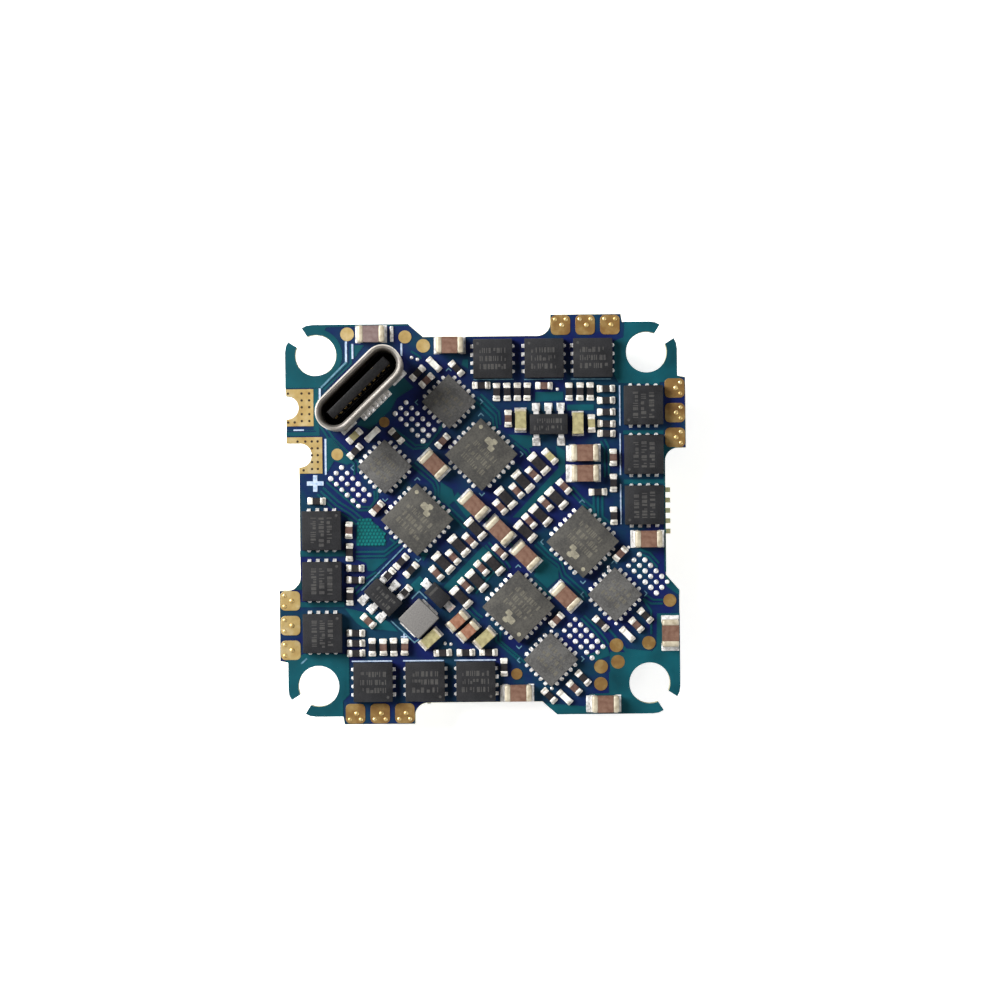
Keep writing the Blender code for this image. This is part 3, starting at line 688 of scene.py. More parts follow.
faint_lines = [
    ([(-10.4, 12.2), (-12.35, 10.25)], 0.14), ([(-9.5, 7.9), (-10.0, 7.4)], 0.1),
    ([(-12.35, 7.5), (-11.9, 7.0)], 0.1), ([(-0.6, 10.75), (2.5, 10.75)], 0.08),
    ([(3.3, 10.72), (6.3, 10.72)], 0.08), ([(6.9, 10.72), (10.0, 10.7)], 0.08),
    ([(-14.1, -11.0), (-13.65, -10.6)], 0.12), ([(-9.4, -5.4), (-6.1, -2.1)], 0.1),
    ([(-5.55, -6.1), (-4.95, -5.5), (-4.35, -6.1)], 0.1),
    ([(-7.15, -7.75), (-5.35, -9.45), (-5.0, -9.2)], 0.1),
]
ink_mesh = bmesh.new()
for look, lines in enumerate((full_lines, faint_lines)):
    for number, (points, width) in enumerate(lines):
        level = INK_TOP + number * HAIR
        add_prism(ink_mesh, track_outline(points, width), BOARD_TOP - 0.01 * MM, level, look, look)
plus_centre, arm, stroke = (-12.87, 2.88), 0.64, 0.33
for reach in ((arm, 0), (0, arm)):
    ends = [(plus_centre[0] + s * reach[0], plus_centre[1] + s * reach[1]) for s in (-1, 1)]
    lift = 0.002 * MM if reach[0] else 0.0
    add_prism(ink_mesh, track_outline(ends, stroke), BOARD_TOP - 0.01 * MM, INK_TOP + lift)

# Corner brackets mark how the square chips sit: (x, y) of a corner, and the way it points
bracket_corners = [
    (-2.5, 11.65, 90), (-5.1, 9.05, 180), (0.1, 9.05, 0), (-10.1, 4.05, 180), (-7.5, 1.45, 270),
    (3.15, 4.97, 0), (-0.05, 8.15, 90), (-0.05, 1.8, 270), (-5.0, 3.25, 90), (-5.0, -3.2, 270),
    (4.45, -1.8, 180), (7.67, -5.05, 270), (7.67, 1.4, 90), (2.7, -3.55, 90), (2.7, -10.0, 270),
    (7.5, -5.9, 180), (12.6, -5.85, 0), (10.1, -3.3, 90), (2.55, -10.9, 180), (7.7, -10.85, 0),
]
for x, y, way in bracket_corners:
    back = 0.3
    arms = [math.radians(way + turn) for turn in (135, 225)]
    ends = [(x + back * math.cos(t), y + back * math.sin(t)) for t in arms]
    bracket = track_outline([ends[0], (x, y), ends[1]], 0.08)
    add_prism(ink_mesh, bracket, BOARD_TOP - 0.01 * MM, INK_TOP, 1, 1)
printed_lines = link_mesh("printed_lines", ink_mesh, [ink, thin_ink])
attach(printed_lines, "board")


# ------------------------------------------------------------------------------------------------
# Solder-dot grids
# Beside each small processor is a grid of plated vias, 3 by 6, each filled with a dot of solder.
# The dots are bright and domed, and a few have spread flatter than the rest.

chance = random.Random(7)


def tin_solder(name, deep, bright, roughness):
    """Reflowed tin-silver solder: a bright, slightly pitted metal that looks near white."""
    made, tree, shader = new_material(name, bright, roughness, 0.45)
    gloss = (roughness - 0.08, roughness + 0.15)
    mottle(tree, shader, 0.3, 2, [(0.35, deep), (0.6, bright)], gloss, 0.007 * MM)
    return made


solder = tin_solder("reflowed_tin_solder", "#b5b3b0", "#f2f0ee", 0.3)
DOT_STEP, DOT_WIDTH = 0.425, 0.4
grid_starts = [(-5.8, 9.05), (-10.82, 4.08), (12.05, -2.85), (7.05, -7.8)]
dot_mesh = bmesh.new()
for start_x, start_y in grid_starts:
    for along in range(6):
        for across in range(3):
            x = start_x + (along - across) * DOT_STEP
            y = start_y - (along + across) * DOT_STEP
            spread = chance.uniform(0.9, 1.08)
            add_dome(dot_mesh, (x, y), DOT_WIDTH / 2 * spread, BOARD_TOP, 0.12 * MM / spread)
loose_dots = [
    (-5.35, 12.5), (-4.9, 12.35), (5.85, 9.95), (5.2, -13.1), (10.2, -8.15), (-3.0, -9.55),
    (-2.55, -9.6), (11.2, -2.3), (9.65, -3.8), (5.2, -8.7), (12.75, -7.85), (8.05, -12.72),
]
for x, y in loose_dots:
    add_dome(dot_mesh, (x, y), 0.14, BOARD_TOP, 0.08 * MM)
solder_dots = link_mesh("solder_dots", dot_mesh, [solder], 60)
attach(solder_dots, "board")


# ------------------------------------------------------------------------------------------------
# Power transistors
# Twelve flat packages, three to a motor: silica-filled black epoxy moulded over a copper lead frame.
# The tinned leads show as short bars on two sides and are soldered to the board.

PART_FLOOR = BOARD_TOP + 0.05 * MM


def merge(bm, part, spot=None):
    """Moves part, turned and placed by spot, into bm."""
    if spot is not None:
        part.transform(spot)
    carrier = bpy.data.meshes.new("carrier")
    part.to_mesh(carrier)
    part.free()
    bm.from_mesh(carrier)
    bpy.data.meshes.remove(carrier)


def add_block(bm, centre, size, low, high, soft=0.0, index=0, spot=None, segments=2):
    """A box with softened edges: centre, size and soft in millimetres, heights in metres."""
    part = bmesh.new()
    middle = Matrix.Translation((centre[0] * MM, centre[1] * MM, (low + high) / 2))
    scale = Matrix.Diagonal((size[0] * MM, size[1] * MM, high - low, 1))
    bmesh.ops.create_cube(part, size=1, matrix=middle @ scale)
    if soft:
        bmesh.ops.bevel(
            part, geom=part.edges[:], offset=soft * MM, segments=segments, profile=0.6, affect="EDGES"
        )
    for face in part.faces:
        face.material_index = index
    merge(bm, part, spot)


def add_fillet(bm, start, end, y, width, rise, index=0, spot=None, floor=0.0):
    """Solder that has crept from a pad up a terminal: a slope from start (high) to end (low)."""
    part = bmesh.new()
    profile = []
    for t in (0, 0.25, 0.5, 0.75, 1):
        climb = (1 - t) ** 2 * 0.85 + (1 - t) * 0.15
        profile.append((start + (end - start) * t, floor + (rise * climb + 0.02) * MM))
    profile += [(end, floor), (start, floor)]
    rings = [
        [part.verts.new((x * MM, (y + side * width / 2) * MM, z)) for x, z in profile] for side in (-1, 1)
    ]
    count = len(rings[0])
    part.faces.new(rings[0])
    part.faces.new(reversed(rings[1]))
    for i in range(count):
        j = (i + 1) % count
        part.faces.new((rings[0][i], rings[1][i], rings[1][j], rings[0][j]))
    bmesh.ops.recalc_face_normals(part, faces=part.faces)
    for face in part.faces:
        face.material_index = index
    merge(bm, part, spot)


def turned(degrees):
    return Matrix.Rotation(math.radians(degrees), 4, "Z")


def moulded_epoxy(name, dark, light, grit):
    """Transfer-moulded epoxy from a spark-eroded mould: charcoal, nearly matt, with a fine grit."""
    made, tree, shader = new_material(name, dark, 0.6)
    shader.inputs["Specular IOR Level"].default_value = 0.2
    place = place_of(tree)
    speckle = add_node(
        tree, "TexNoise", values={"Scale": 1 / (grit * MM), "Detail": 4}, links={"Vector": place}
    )
    cloud = add_node(
        tree, "TexNoise", values={"Scale": 1 / (1.1 * MM), "Detail": 2}, links={"Vector": place}
    )
    both = add_node(
        tree,
        "Math",
        {"operation": "ADD"},
        links={0: cloud.outputs["Fac"], 1: speckle.outputs["Fac"]},
    )
    half = add_node(
        tree, "Math", {"operation": "MULTIPLY"}, {1: 0.5}, {0: both.outputs["Value"]}
    )
    colour_by(tree, shader, half.outputs["Value"], [(0.4, dark), (0.6, light)])
    vary_roughness(tree, shader, speckle.outputs["Fac"], 0.52, 0.7)
    bump(tree, shader, speckle.outputs["Fac"], 0.012 * MM)
    return made


def add_marks(bm, rows, reach, level, height, index, along_y=False, draw=chance):
    """Rows of short scorched strokes where a chip carries its lines of type. They spell nothing."""
    for row in rows:
        at = -reach
        while at < reach:
            stroke = draw.choice((0.08, 0.08, 0.16, 0.24))
            tall = height * draw.choice((1, 1, 0.6))
            spot = (at + stroke / 2, row + (height - tall) * draw.choice((-0.5, 0.5)))
            size = (stroke, tall)
            if along_y:
                spot, size = spot[::-1], size[::-1]
            outline = rounded_square(spot, size, 0.02, 1)
            add_prism(bm, outline, level - 0.01 * MM, level + 0.003 * MM, index, index)
            at += stroke + draw.choice((0.07, 0.1, 0.2))


def place_chip(name, node, bm, materials, turn, under=False, smooth=35):
    """A finished part, modelled face up, in the place of its CAD node on either side of the board."""
    low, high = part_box(node)
    piece = link_mesh(name, bm, materials, smooth)
    height = BOARD_TOP + BOARD_UNDER if under else 0
    place = Matrix.Translation(((low.x + high.x) / 2, (low.y + high.y) / 2, height)) @ turned(turn)
    piece.matrix_world = place @ Matrix.Rotation(math.pi if under else 0, 4, "X")
    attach(piece, "boot_button" if node == "boot_button" else "board")
    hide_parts(node)
    return piece


power_epoxy = moulded_epoxy("moulded_epoxy_power", "#141416", "#222224", 0.09)
faint_laser = moulded_epoxy("laser_scorched_epoxy_faint", "#333232", "#403f3d", 0.12)

BODY_SIDE, BODY_HEIGHT = 3.0, 0.82
LEAD_PITCH, LEAD_WIDTH, LEAD_REACH = 0.65, 0.3, 1.6


def power_transistor():
    bm = bmesh.new()
    top = PART_FLOOR + BODY_HEIGHT * MM
    add_block(bm, (0, 0), (BODY_SIDE, BODY_SIDE), PART_FLOOR + 0.02 * MM, top, 0.05)
    for side in (0, 180):
        for i in range(4):
            y = (i - 1.5) * LEAD_PITCH
            lead_middle = (LEAD_REACH + 1.2) / 2
            size = (LEAD_REACH - 1.2, LEAD_WIDTH)
            add_block(
                bm, (lead_middle, y), size, PART_FLOOR, PART_FLOOR + 0.22 * MM, 0.03, 1, turned(side), 1
            )
            spread = chance.uniform(0.8, 1.05) * (1.0 if side else 0.7)
            reach = LEAD_REACH + 0.13 * spread
            wetted = LEAD_WIDTH * spread
            add_fillet(bm, LEAD_REACH - 0.04, reach, y, wetted, 0.17, 1, turned(side), BOARD_TOP)
    add_marks(bm, (0.62, 0.0, -0.62), 1.0, top, 0.4, 2)
    dimple = arc((-1.15, 1.15), 0.11, 0, 330, 11)
    add_prism(bm, dimple, top - 0.01 * MM, top + 0.003 * MM, 2, 2)
    return bm


transistor_turns = [0, 0, 0, 90, 90, 90, 90, 90, 90, 0, 0, 0]
for number, turn in enumerate(transistor_turns, 1):
    lower_half = 180 if number > 6 else 0
    place_chip(
        f"transistor_{number:02d}",
        f"power_transistor_{number:02d}",
        power_transistor(),
        [power_epoxy, solder, faint_laser],
        turn + lower_half,
    )


# ------------------------------------------------------------------------------------------------
# Gate drivers and motor processors
# Leadless square chips, 4 mm and 3 mm wide, sawn from a moulded panel, so their edges are sharp.
# Copper terminals end flush at all four sides, where solder has wetted them from the pads.

driver_epoxy = moulded_epoxy("moulded_epoxy_driver", "#363533", "#4b4944", 0.1)
processor_epoxy = moulded_epoxy("moulded_epoxy_processor", "#3f3e3d", "#565553", 0.1)
strong_laser = moulded_epoxy("laser_scorched_epoxy", "#6d695c", "#8b8674", 0.15)
soft_laser = moulded_epoxy("laser_scorched_epoxy_soft", "#4b4841", "#5d5a51", 0.12)


def leadless_chip(body, height, count, pitch, sides=(0, 1, 2, 3), wet=0.24):
    """The body, its terminals and their solder, on the sides given (0 is +X, 1 is +Y and so on)."""
    bm = bmesh.new()
    add_block(bm, (0, 0), body, PART_FLOOR, PART_FLOOR + height * MM, 0.03)
    for quarter in sides:
        edge = body[quarter % 2] / 2
        spot = turned(90 * quarter)
        for i in range(count):
            y = (i - (count - 1) / 2) * pitch
            low, high = PART_FLOOR - 0.01 * MM, PART_FLOOR + 0.2 * MM
            add_block(bm, (edge - 0.1, y), (0.26, 0.26), low, high, 0.0, 1, spot)
            reach = edge + wet * chance.uniform(0.85, 1.15)
            width = 0.27 * chance.uniform(0.9, 1.1)
            add_fillet(bm, edge + 0.02, reach, y, width, 0.2, 1, spot, BOARD_TOP)
            drop = bmesh.new()
            add_dome(drop, (reach - 0.06, y), width * 0.52, BOARD_TOP, 0.06 * MM, 1, 8, 2)
            merge(bm, drop, spot)
    return bm


for number in range(1, 5):
    half_turn = 180 if number > 2 else 0
    driver = leadless_chip((3.95, 3.95), 0.85, 6, 0.5)
    level = PART_FLOOR + 0.85 * MM
    add_marks(driver, (0.35, -0.3, -0.95), 1.15, level, 0.44, 3, True)
    for x, y, w, h in ((1.15, 0.22, 0.5, 0.75), (0.85, -0.2, 0.42, 0.5), (1.4, -0.05, 0.36, 0.45)):
        badge = rounded_square((x, y), (w, h), 0.12, 3)
        add_prism(driver, badge, level - 0.01 * MM, level + (0.003 + 0.001 * y) * MM, 2, 2)
    add_prism(driver, arc((1.5, 1.5), 0.16, 0, 330, 11), level - 0.01 * MM, level + 0.003 * MM, 2, 2)
    layers = [driver_epoxy, solder, strong_laser, soft_laser]
    place_chip(f"driver_chip_{number}", f"gate_driver_{number}", driver, layers, 45 + half_turn)

    processor = leadless_chip((2.95, 2.95), 0.75, 5, 0.5)
    level = PART_FLOOR + 0.75 * MM
    add_marks(processor, (0.5, -0.1, -0.7), 0.9, level, 0.36, 2, True)
    layers = [processor_epoxy, solder, soft_laser]
    place_chip(f"processor_chip_{number}", f"motor_processor_{number}", processor, layers, 45 + half_turn)


# ------------------------------------------------------------------------------------------------
# Ceramic capacitors
# Stacked ceramic and metal layers fired to one brick, dipped at both ends in metal and tinned.
# The large ones carry the motor current's ripple, and the tan ones sit round the supply.


def fired_ceramic(name, dark, light):
    """Fired barium titanate: a dense matt brown or tan with a faint mottle and a waxy gloss."""
    made, tree, shader = new_material(name, dark, 0.42)
    mottle(tree, shader, 0.3, 4, [(0.35, dark), (0.65, light)], (0.36, 0.52), 0.006 * MM)
    return made


def dipped_end(name, shade, pale):
    """Dipped and tinned end: soft-edged, cream-silver, satin rather than mirror bright."""
    made, tree, shader = new_material(name, pale, 0.38, 0.1)
    mottle(tree, shader, 0.45, 3, [(0.3, shade), (0.62, pale)], (0.3, 0.48), 0.01 * MM)
    return made


brown_ceramic = fired_ceramic("fired_ceramic_brown", "#5c4033", "#705445")
pink_ceramic = fired_ceramic("fired_ceramic_pink", "#5e4c4a", "#6f5f5c")
tan_ceramic = fired_ceramic("fired_ceramic_tan", "#807854", "#9a9269")
rust_ceramic = fired_ceramic("fired_ceramic_rust", "#754c38", "#8c644e")
tinned_end = dipped_end("dipped_tin_end", "#8a7f69", "#b1a893")


def ceramic_brick(length, width, height, band, foot, floor=None):
    """A two-ended ceramic part, long in X, with its solder: slots are ceramic, end metal, solder."""
    bm = bmesh.new()
    floor = PART_FLOOR if floor is None else floor
    top = floor + height * MM
    inner = length - 2 * band + 0.1
    lip = 0.02
    add_block(bm, (0, 0), (inner, width - 2 * lip), floor + lip * MM, top - lip * MM, 0.0, 0)
    for side in (0, 180):
        spot = turned(side)
        rounding = min(0.22, band * 0.44)
        add_block(bm, (length / 2 - band / 2, 0), (band, width), floor, top, rounding, 1, spot, 4)
        reach = length / 2 + foot
        pad_low, pad_high = floor - 0.05 * MM, floor - 0.01 * MM
        pad = (foot + 0.26, width * 1.04)
        add_block(bm, ((length / 2 + reach) / 2 - 0.12, 0), pad, pad_low, pad_high, 0.0, 2, spot)
        add_fillet(bm, length / 2 - 0.03, reach, 0, width * 0.92, height * 0.55, 2, spot, floor - 0.04 * MM)
    return bm


bulk_turns = [0, 0, 0, 0, 0, 90, 0, 0, -45, -45, -45, -45, -45]
for number, turn in enumerate(bulk_turns, 1):
    ceramic = pink_ceramic if number == 1 else brown_ceramic
    brick = ceramic_brick(2.1, 1.3, 1.05, 0.5, 0.16)
    layers = [ceramic, tinned_end, solder]
    place_chip(f"large_capacitor_{number:02d}", f"bulk_capacitor_{number:02d}", brick, layers, turn)

# The last pair beside the coil is rust-coloured, the others are tan, and their end bands differ
filter_turns = [90, 90, 42, 42, 42, 42]
filter_looks = [(tan_ceramic, 0.2), (tan_ceramic, 0.14), (rust_ceramic, 0.42), (rust_ceramic, 0.42)]
filter_looks += [(tan_ceramic, 0.2), (tan_ceramic, 0.24)]
for number, (turn, (ceramic, band)) in enumerate(zip(filter_turns, filter_looks), 1):
    brick = ceramic_brick(1.65, 0.88, 0.8, band, 0.12)
    ends = tan_ceramic if band < 0.2 else tinned_end
    layers = [ceramic, ends, solder]
    place_chip(f"tan_capacitor_{number}", f"filter_capacitor_{number}", brick, layers, turn)

# Some pads are longer than their capacitor, and the spare length is a bright flat of solder
bare_pads = [
    ((6.66, 5.0), (0.36, 1.2)), ((6.66, 3.45), (0.42, 1.36)), ((11.53, -1.65), (0.32, 1.36)),
    ((7.97, -14.3), (0.3, 1.3)), ((-6.86, 14.33), (0.26, 1.2)), ((14.35, -7.7), (1.36, 0.3)),
    ((14.35, -10.12), (1.36, 0.34)), ((1.32, -13.45), (0.24, 1.3)), ((3.72, -13.45), (0.2, 1.3)),
]
strip_mesh = bmesh.new()
for middle, size in bare_pads:
    add_block(strip_mesh, middle, size, BOARD_TOP, BOARD_TOP + 0.14 * MM, 0.05)
pad_strips = link_mesh("capacitor_pad_solder", strip_mesh, [solder], 40)
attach(pad_strips, "board")


# ------------------------------------------------------------------------------------------------
# Small resistors and capacitors
# Parts 1 mm and 1.6 mm long, placed by machine and reflowed, whose ends vanish in bright solder.
# Resistors are alumina chips under black glaze; the capacitors are brown or tan ceramic.

black_glaze = moulded_epoxy("glazed_resistor_film", "#151314", "#252122", 0.15)
dark_red_ceramic = fired_ceramic("fired_ceramic_dark", "#46302a", "#60473d")
white_alumina = fired_ceramic("bare_alumina", "#c9c9c2", "#e6e5dd")
tin_cap = tin_solder("reflowed_tin_cap", "#c4beb2", "#efebe3", 0.34)


def small_part(length, width, height, end, foot, rounding=0.05):
    """The same build as the large ones at a small size, with plumper solder."""
    bm = bmesh.new()
    top = PART_FLOOR + height * MM
    add_block(bm, (0, 0), (length - 2 * end + 0.06, width), PART_FLOOR, top - 0.015 * MM, 0.0, 0)
    for side in (0, 180):
        spot = turned(side)
        cap, cap_low = (end, width * 1.06), PART_FLOOR - 0.01 * MM
        add_block(bm, (length / 2 - end / 2, 0), cap, cap_low, top, rounding, 1, spot)
        middle = length / 2 + foot / 2 - 0.04
        solder_top = PART_FLOOR + height * 0.42 * MM
        add_block(bm, (middle, 0), (foot + 0.1, width * 1.16), BOARD_TOP, solder_top, 0.1, 1, spot)
    return bm


# Each place is (x, y, turn); a turn is in degrees from +X
across, upright, falling, rising = 0, 90, -45, 45
resistors = [(x, 9.78, upright) for x in (1.17, 1.98, 2.77, 3.53)]
resistors += [(x, 9.75, upright) for x in (6.75, 7.6, 8.38)]
resistors += [(9.6, y, across) for y in (9.95, 9.05, 8.15, 7.25, 6.5)]
resistors += [(8.9, 2.0, across), (10.1, 2.68, upright), (10.1, 0.15, upright), (0.0, 10.3, across)]
resistors += [(-9.85, y, across) for y in (-3.68, -4.58, -8.67, -9.45, -10.22)]
resistors += [(x, -9.78, upright) for x in (-8.6, -6.95)]
resistors += [(x, -10.26, across) for x in (-3.18, -1.4, 0.35)]
resistors += [
    (-10.28, -5.85, upright), (1.53, -11.42, upright), (-12.77, 1.52, across), (-9.77, 5.33, rising),
    (-4.9, 11.3, rising), (-6.58, 6.46, falling), (-1.9, 11.62, falling), (9.0, -8.12, falling),
    (12.45, -7.55, falling), (7.6, -12.3, falling), (4.98, -13.65, falling), (-6.3, -3.2, rising),
    (-7.35, -4.27, rising), (-5.55, -3.85, rising), (-6.1, -5.6, rising), (-10.28, -2.45, upright),
]
long_resistors = [(x, y, falling) for x, y in (
    (4.37, 4.22), (3.13, 2.88), (1.8, 1.62), (5.7, 1.55), (4.45, 0.25), (3.28, -0.98),
    (-0.55, -0.75), (-1.85, -2.02), (-3.07, -3.33), (0.8, -3.45), (-0.5, -4.73), (-1.72, -6.0),
)]
brown_capacitors = [(x, y, falling) for x, y in (
    (3.92, 3.42), (2.65, 2.15), (1.37, 0.92), (6.28, 2.45), (4.87, 1.15), (3.6, -0.18),
    (-1.0, -1.63), (-2.3, -2.9), (-3.6, -4.12), (1.3, -2.53), (-0.12, -3.77), (-1.37, -5.07),
    (11.75, -8.27), (6.92, -13.05), (-8.88, -7.75),
)]
brown_capacitors += [(x, y, rising) for x, y in (
    (-4.2, 10.72), (-8.12, 0.93), (-3.02, 6.05), (10.57, -2.77), (5.6, -7.8),
)]
brown_capacitors += [
    (2.05, 7.72, upright), (10.1, 4.65, upright), (-10.3, -0.75, upright), (-7.75, -9.78, upright),
    (-6.1, -9.78, upright), (4.83, 10.22, across),
]
tan_capacitors = [(5.23, 4.77, falling), (-9.8, 6.5, rising), (8.45, 7.28, upright)]
pale_parts = [(-3.62, 11.95, falling), (-8.42, 6.6, rising), (11.05, -8.98, falling), (6.18, -13.77, falling)]


def scatter(name, template, places, materials, under=False):
    """One piece holding a copy of the template at each place, and each a touch off square."""
    bm = bmesh.new()
    source = bpy.data.meshes.new("template")
    template.to_mesh(source)
    template.free()
    for x, y, turn in places:
        first = len(bm.verts)
        bm.from_mesh(source)
        bm.verts.ensure_lookup_table()
        spot = Matrix.Translation((x * MM, y * MM, 0)) @ turned(turn + chance.uniform(-2, 2))
        bmesh.ops.transform(bm, matrix=spot, verts=bm.verts[first:])
    bpy.data.meshes.remove(source)
    piece = link_mesh(name, bm, materials, 40)
    if under:
        lift = Matrix.Translation((0, 0, BOARD_TOP + BOARD_UNDER))
        piece.matrix_world = lift @ Matrix.Rotation(math.pi, 4, "X")
    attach(piece, "board")
    return piece


scatter("small_resistors", small_part(1.0, 0.5, 0.35, 0.24, 0.2, 0.09), resistors, [black_glaze, tin_cap])
scatter("long_resistors", small_part(1.6, 0.72, 0.42, 0.3, 0.16, 0.1), long_resistors, [black_glaze, tin_cap])
small_capacitor = small_part(1.0, 0.52, 0.5, 0.26, 0.16, 0.1)
scatter("small_capacitors_brown", small_capacitor, brown_capacitors, [dark_red_ceramic, tin_cap])
tan_capacitor = small_part(1.05, 0.52, 0.5, 0.24, 0.18, 0.09)
scatter("small_capacitors_tan", tan_capacitor, tan_capacitors, [tan_ceramic, tin_cap])
scatter("alumina_jumpers", small_part(1.05, 0.46, 0.4, 0.22, 0.16), pale_parts, [white_alumina, tin_cap])


# ------------------------------------------------------------------------------------------------
# Supply parts
# Two small leaded chips, a rectifier and a coil pressed into a block of iron powder.
# The chips' leads are bent down like gull wings and stand in bright solder.


def gull_wing(bm, edge, reach, y, width, shoulder, index, spot):
    """A bent lead, swept as a strip 0.13 mm thick from the body's edge down to its foot."""
    thick = 0.13
    knee = edge + 0.18
    profile = [
        (edge - 0.1, shoulder + thick), (edge - 0.1, shoulder), (knee, shoulder - 0.04), (knee + 0.1, 0.04),
        (knee + 0.2, 0.0), (reach, 0.0), (reach, thick), (knee + 0.28, thick), (knee + 0.2, shoulder),
        (knee + 0.08, shoulder + thick),
    ]
    part = bmesh.new()
    rings = [
        [part.verts.new((x * MM, (y + s * width / 2) * MM, PART_FLOOR + z * MM)) for x, z in profile]
        for s in (-1, 1)
    ]
    part.faces.new(rings[0])
    part.faces.new(reversed(rings[1]))
    for i in range(len(profile)):
        j = (i + 1) % len(profile)
        part.faces.new((rings[0][i], rings[1][i], rings[1][j], rings[0][j]))
    bmesh.ops.recalc_face_normals(part, faces=part.faces)
    for face in part.faces:
        face.material_index = index
    merge(bm, part, spot)


def leaded_chip(body, height, leads, width, reach):
    """A moulded body, long in Y, with softened edges. leads gives (side, y)."""
    bm = bmesh.new()
    top = PART_FLOOR + height * MM
    add_block(bm, (0, 0), body, PART_FLOOR + 0.08 * MM, top, 0.08)
    for side, y in leads:
        spot = turned(0 if side > 0 else 180)
        across_y = y if side > 0 else -y
        gull_wing(bm, body[0] / 2, reach, across_y, width, height * 0.5, 1, spot)
        add_block(
            bm, (reach - 0.06, across_y), (0.62, width * 1.45), BOARD_TOP, BOARD_TOP + 0.1 * MM, 0.04, 1, spot
        )
        add_fillet(bm, reach - 0.02, reach + 0.22, across_y, width * 1.2, 0.14, 1, spot, BOARD_TOP)
    return bm


five_leads = [(1, -0.95), (1, 0), (1, 0.95), (-1, -0.95), (-1, 0.95)]
amplifier = leaded_chip((1.55, 2.9), 1.05, five_leads, 0.42, 1.4)
add_marks(amplifier, (0.25, -0.3), 1.0, PART_FLOOR + 1.05 * MM, 0.36, 2, True)
layers = [power_epoxy, solder, faint_laser]
place_chip("amplifier_chip", "current_sense_amplifier", amplifier, layers, 90)

six_leads = [(side, y) for side in (-1, 1) for y in (-0.95, 0, 0.95)]
converter = leaded_chip((1.5, 2.75), 1.05, six_leads, 0.44, 1.36)
add_marks(converter, (0.25, -0.3), 0.95, PART_FLOOR + 1.05 * MM, 0.34, 2, True)
place_chip("converter_chip", "step_down_converter", converter, layers, 45)

rectifier = bmesh.new()
add_block(rectifier, (0, 0), (1.8, 1.15), PART_FLOOR + 0.06 * MM, PART_FLOOR + 0.75 * MM, 0.07)
for side in (0, 180):
    tab_low, tab_high = PART_FLOOR - 0.02 * MM, PART_FLOOR + 0.2 * MM
    add_block(rectifier, (1.12, 0), (0.56, 0.62), tab_low, tab_high, 0.06, 1, turned(side))
    add_fillet(rectifier, 1.36, 1.6, 0, 0.66, 0.16, 1, turned(side), BOARD_TOP)
bar = [(-0.55, -0.45), (-0.35, -0.45), (-0.35, 0.45), (-0.55, 0.45)]
add_prism(rectifier, bar, PART_FLOOR + 0.74 * MM, PART_FLOOR + 0.753 * MM, 2, 2)
place_chip("rectifier", "schottky_diode", rectifier, layers, -45)


def pressed_iron():
    """Iron powder pressed with resin: warm grey and dull, with coarse grains and faint press lines."""
    made, tree, shader = new_material("pressed_iron_powder", "#62605d", 0.62)
    mottle(tree, shader, 0.1, 4, [(0.35, "#5a5856"), (0.65, "#6c6966")], (0.5, 0.72), 0.015 * MM)
    return made


iron_powder = pressed_iron()
coil = bmesh.new()
add_block(coil, (0, 0), (2.3, 2.2), PART_FLOOR + 0.06 * MM, PART_FLOOR + 1.1 * MM, 0.14, 0, None, 3)
for side in (0, 180):
    end_low, end_high = PART_FLOOR - 0.02 * MM, PART_FLOOR + 0.3 * MM
    add_block(coil, (1.04, 0), (0.32, 1.7), end_low, end_high, 0.06, 1, turned(side))
    add_fillet(coil, 1.18, 1.3, 0, 1.6, 0.1, 1, turned(side), BOARD_TOP)
place_chip("coil_block", "power_inductor", coil, [iron_powder, solder], 45)


# ------------------------------------------------------------------------------------------------
# USB socket
# A shell drawn from thin steel and nickel-plated, its four legs soldered into slots in the board.
# Inside stands a black nylon tongue with a row of gold contacts on each face.

USB_TURN = 44
USB_WALL, USB_LENGTH, USB_WIDTH = 0.15, 8.0, 2.86
shell_low, shell_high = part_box("usb_shell")
usb_spot = Matrix.Translation(((shell_low.x + shell_high.x) / 2, (shell_low.y + shell_high.y) / 2, 0))
usb_spot = usb_spot @ turned(USB_TURN)
rim, shell_floor = shell_high.z, PART_FLOOR


def stadium(length, width, steps=16):
    reach, radius = (length - width) / 2, width / 2
    return arc((reach, 0), radius, -90, 90, steps) + arc((-reach, 0), radius, 90, 270, steps)


def drawn_steel():
    """Nickel-plated drawn steel: satin, with fine lines along the draw and a few darker smears."""
    made, tree, shader = new_material("nickel_plated_drawn_steel", "#cdc8c0", 0.36, 0.85)
    place = place_of(tree)
    line_width, line_length = 0.08 * MM, 2 * MM
    scale = (1 / line_width, 1 / line_width, 1 / line_length)
    drawn = add_node(tree, "Mapping", values={"Scale": scale}, links={"Vector": place})
    lines = add_node(
        tree, "TexNoise", values={"Scale": 1.0, "Detail": 3}, links={"Vector": drawn.outputs["Vector"]}
    )
    smears = add_node(
        tree, "TexNoise", values={"Scale": 1 / (1.4 * MM), "Detail": 3}, links={"Vector": place}
    )
    colour_by(tree, shader, smears.outputs["Fac"], [(0.3, "#9a948c"), (0.52, "#aea8a0"), (0.72, "#c4bfb7")])
    vary_roughness(tree, shader, lines.outputs["Fac"], 0.28, 0.46)
    bump(tree, shader, lines.outputs["Fac"], 0.004 * MM)
    return made


def black_nylon():
    """Moulded glass-filled nylon: near black, semi-matt, with short pale fibres just visible."""
    made, tree, shader = new_material("black_glass_filled_nylon", "#0c0c0d", 0.5)
    shader.inputs["Specular IOR Level"].default_value = 0.2
    mottle(tree, shader, 0.1, 4, [(0.4, "#0a0a0b"), (0.75, "#1c1b1c")], (0.38, 0.55), 0.006 * MM)
    return made


nickel_steel = drawn_steel()
nylon = black_nylon()

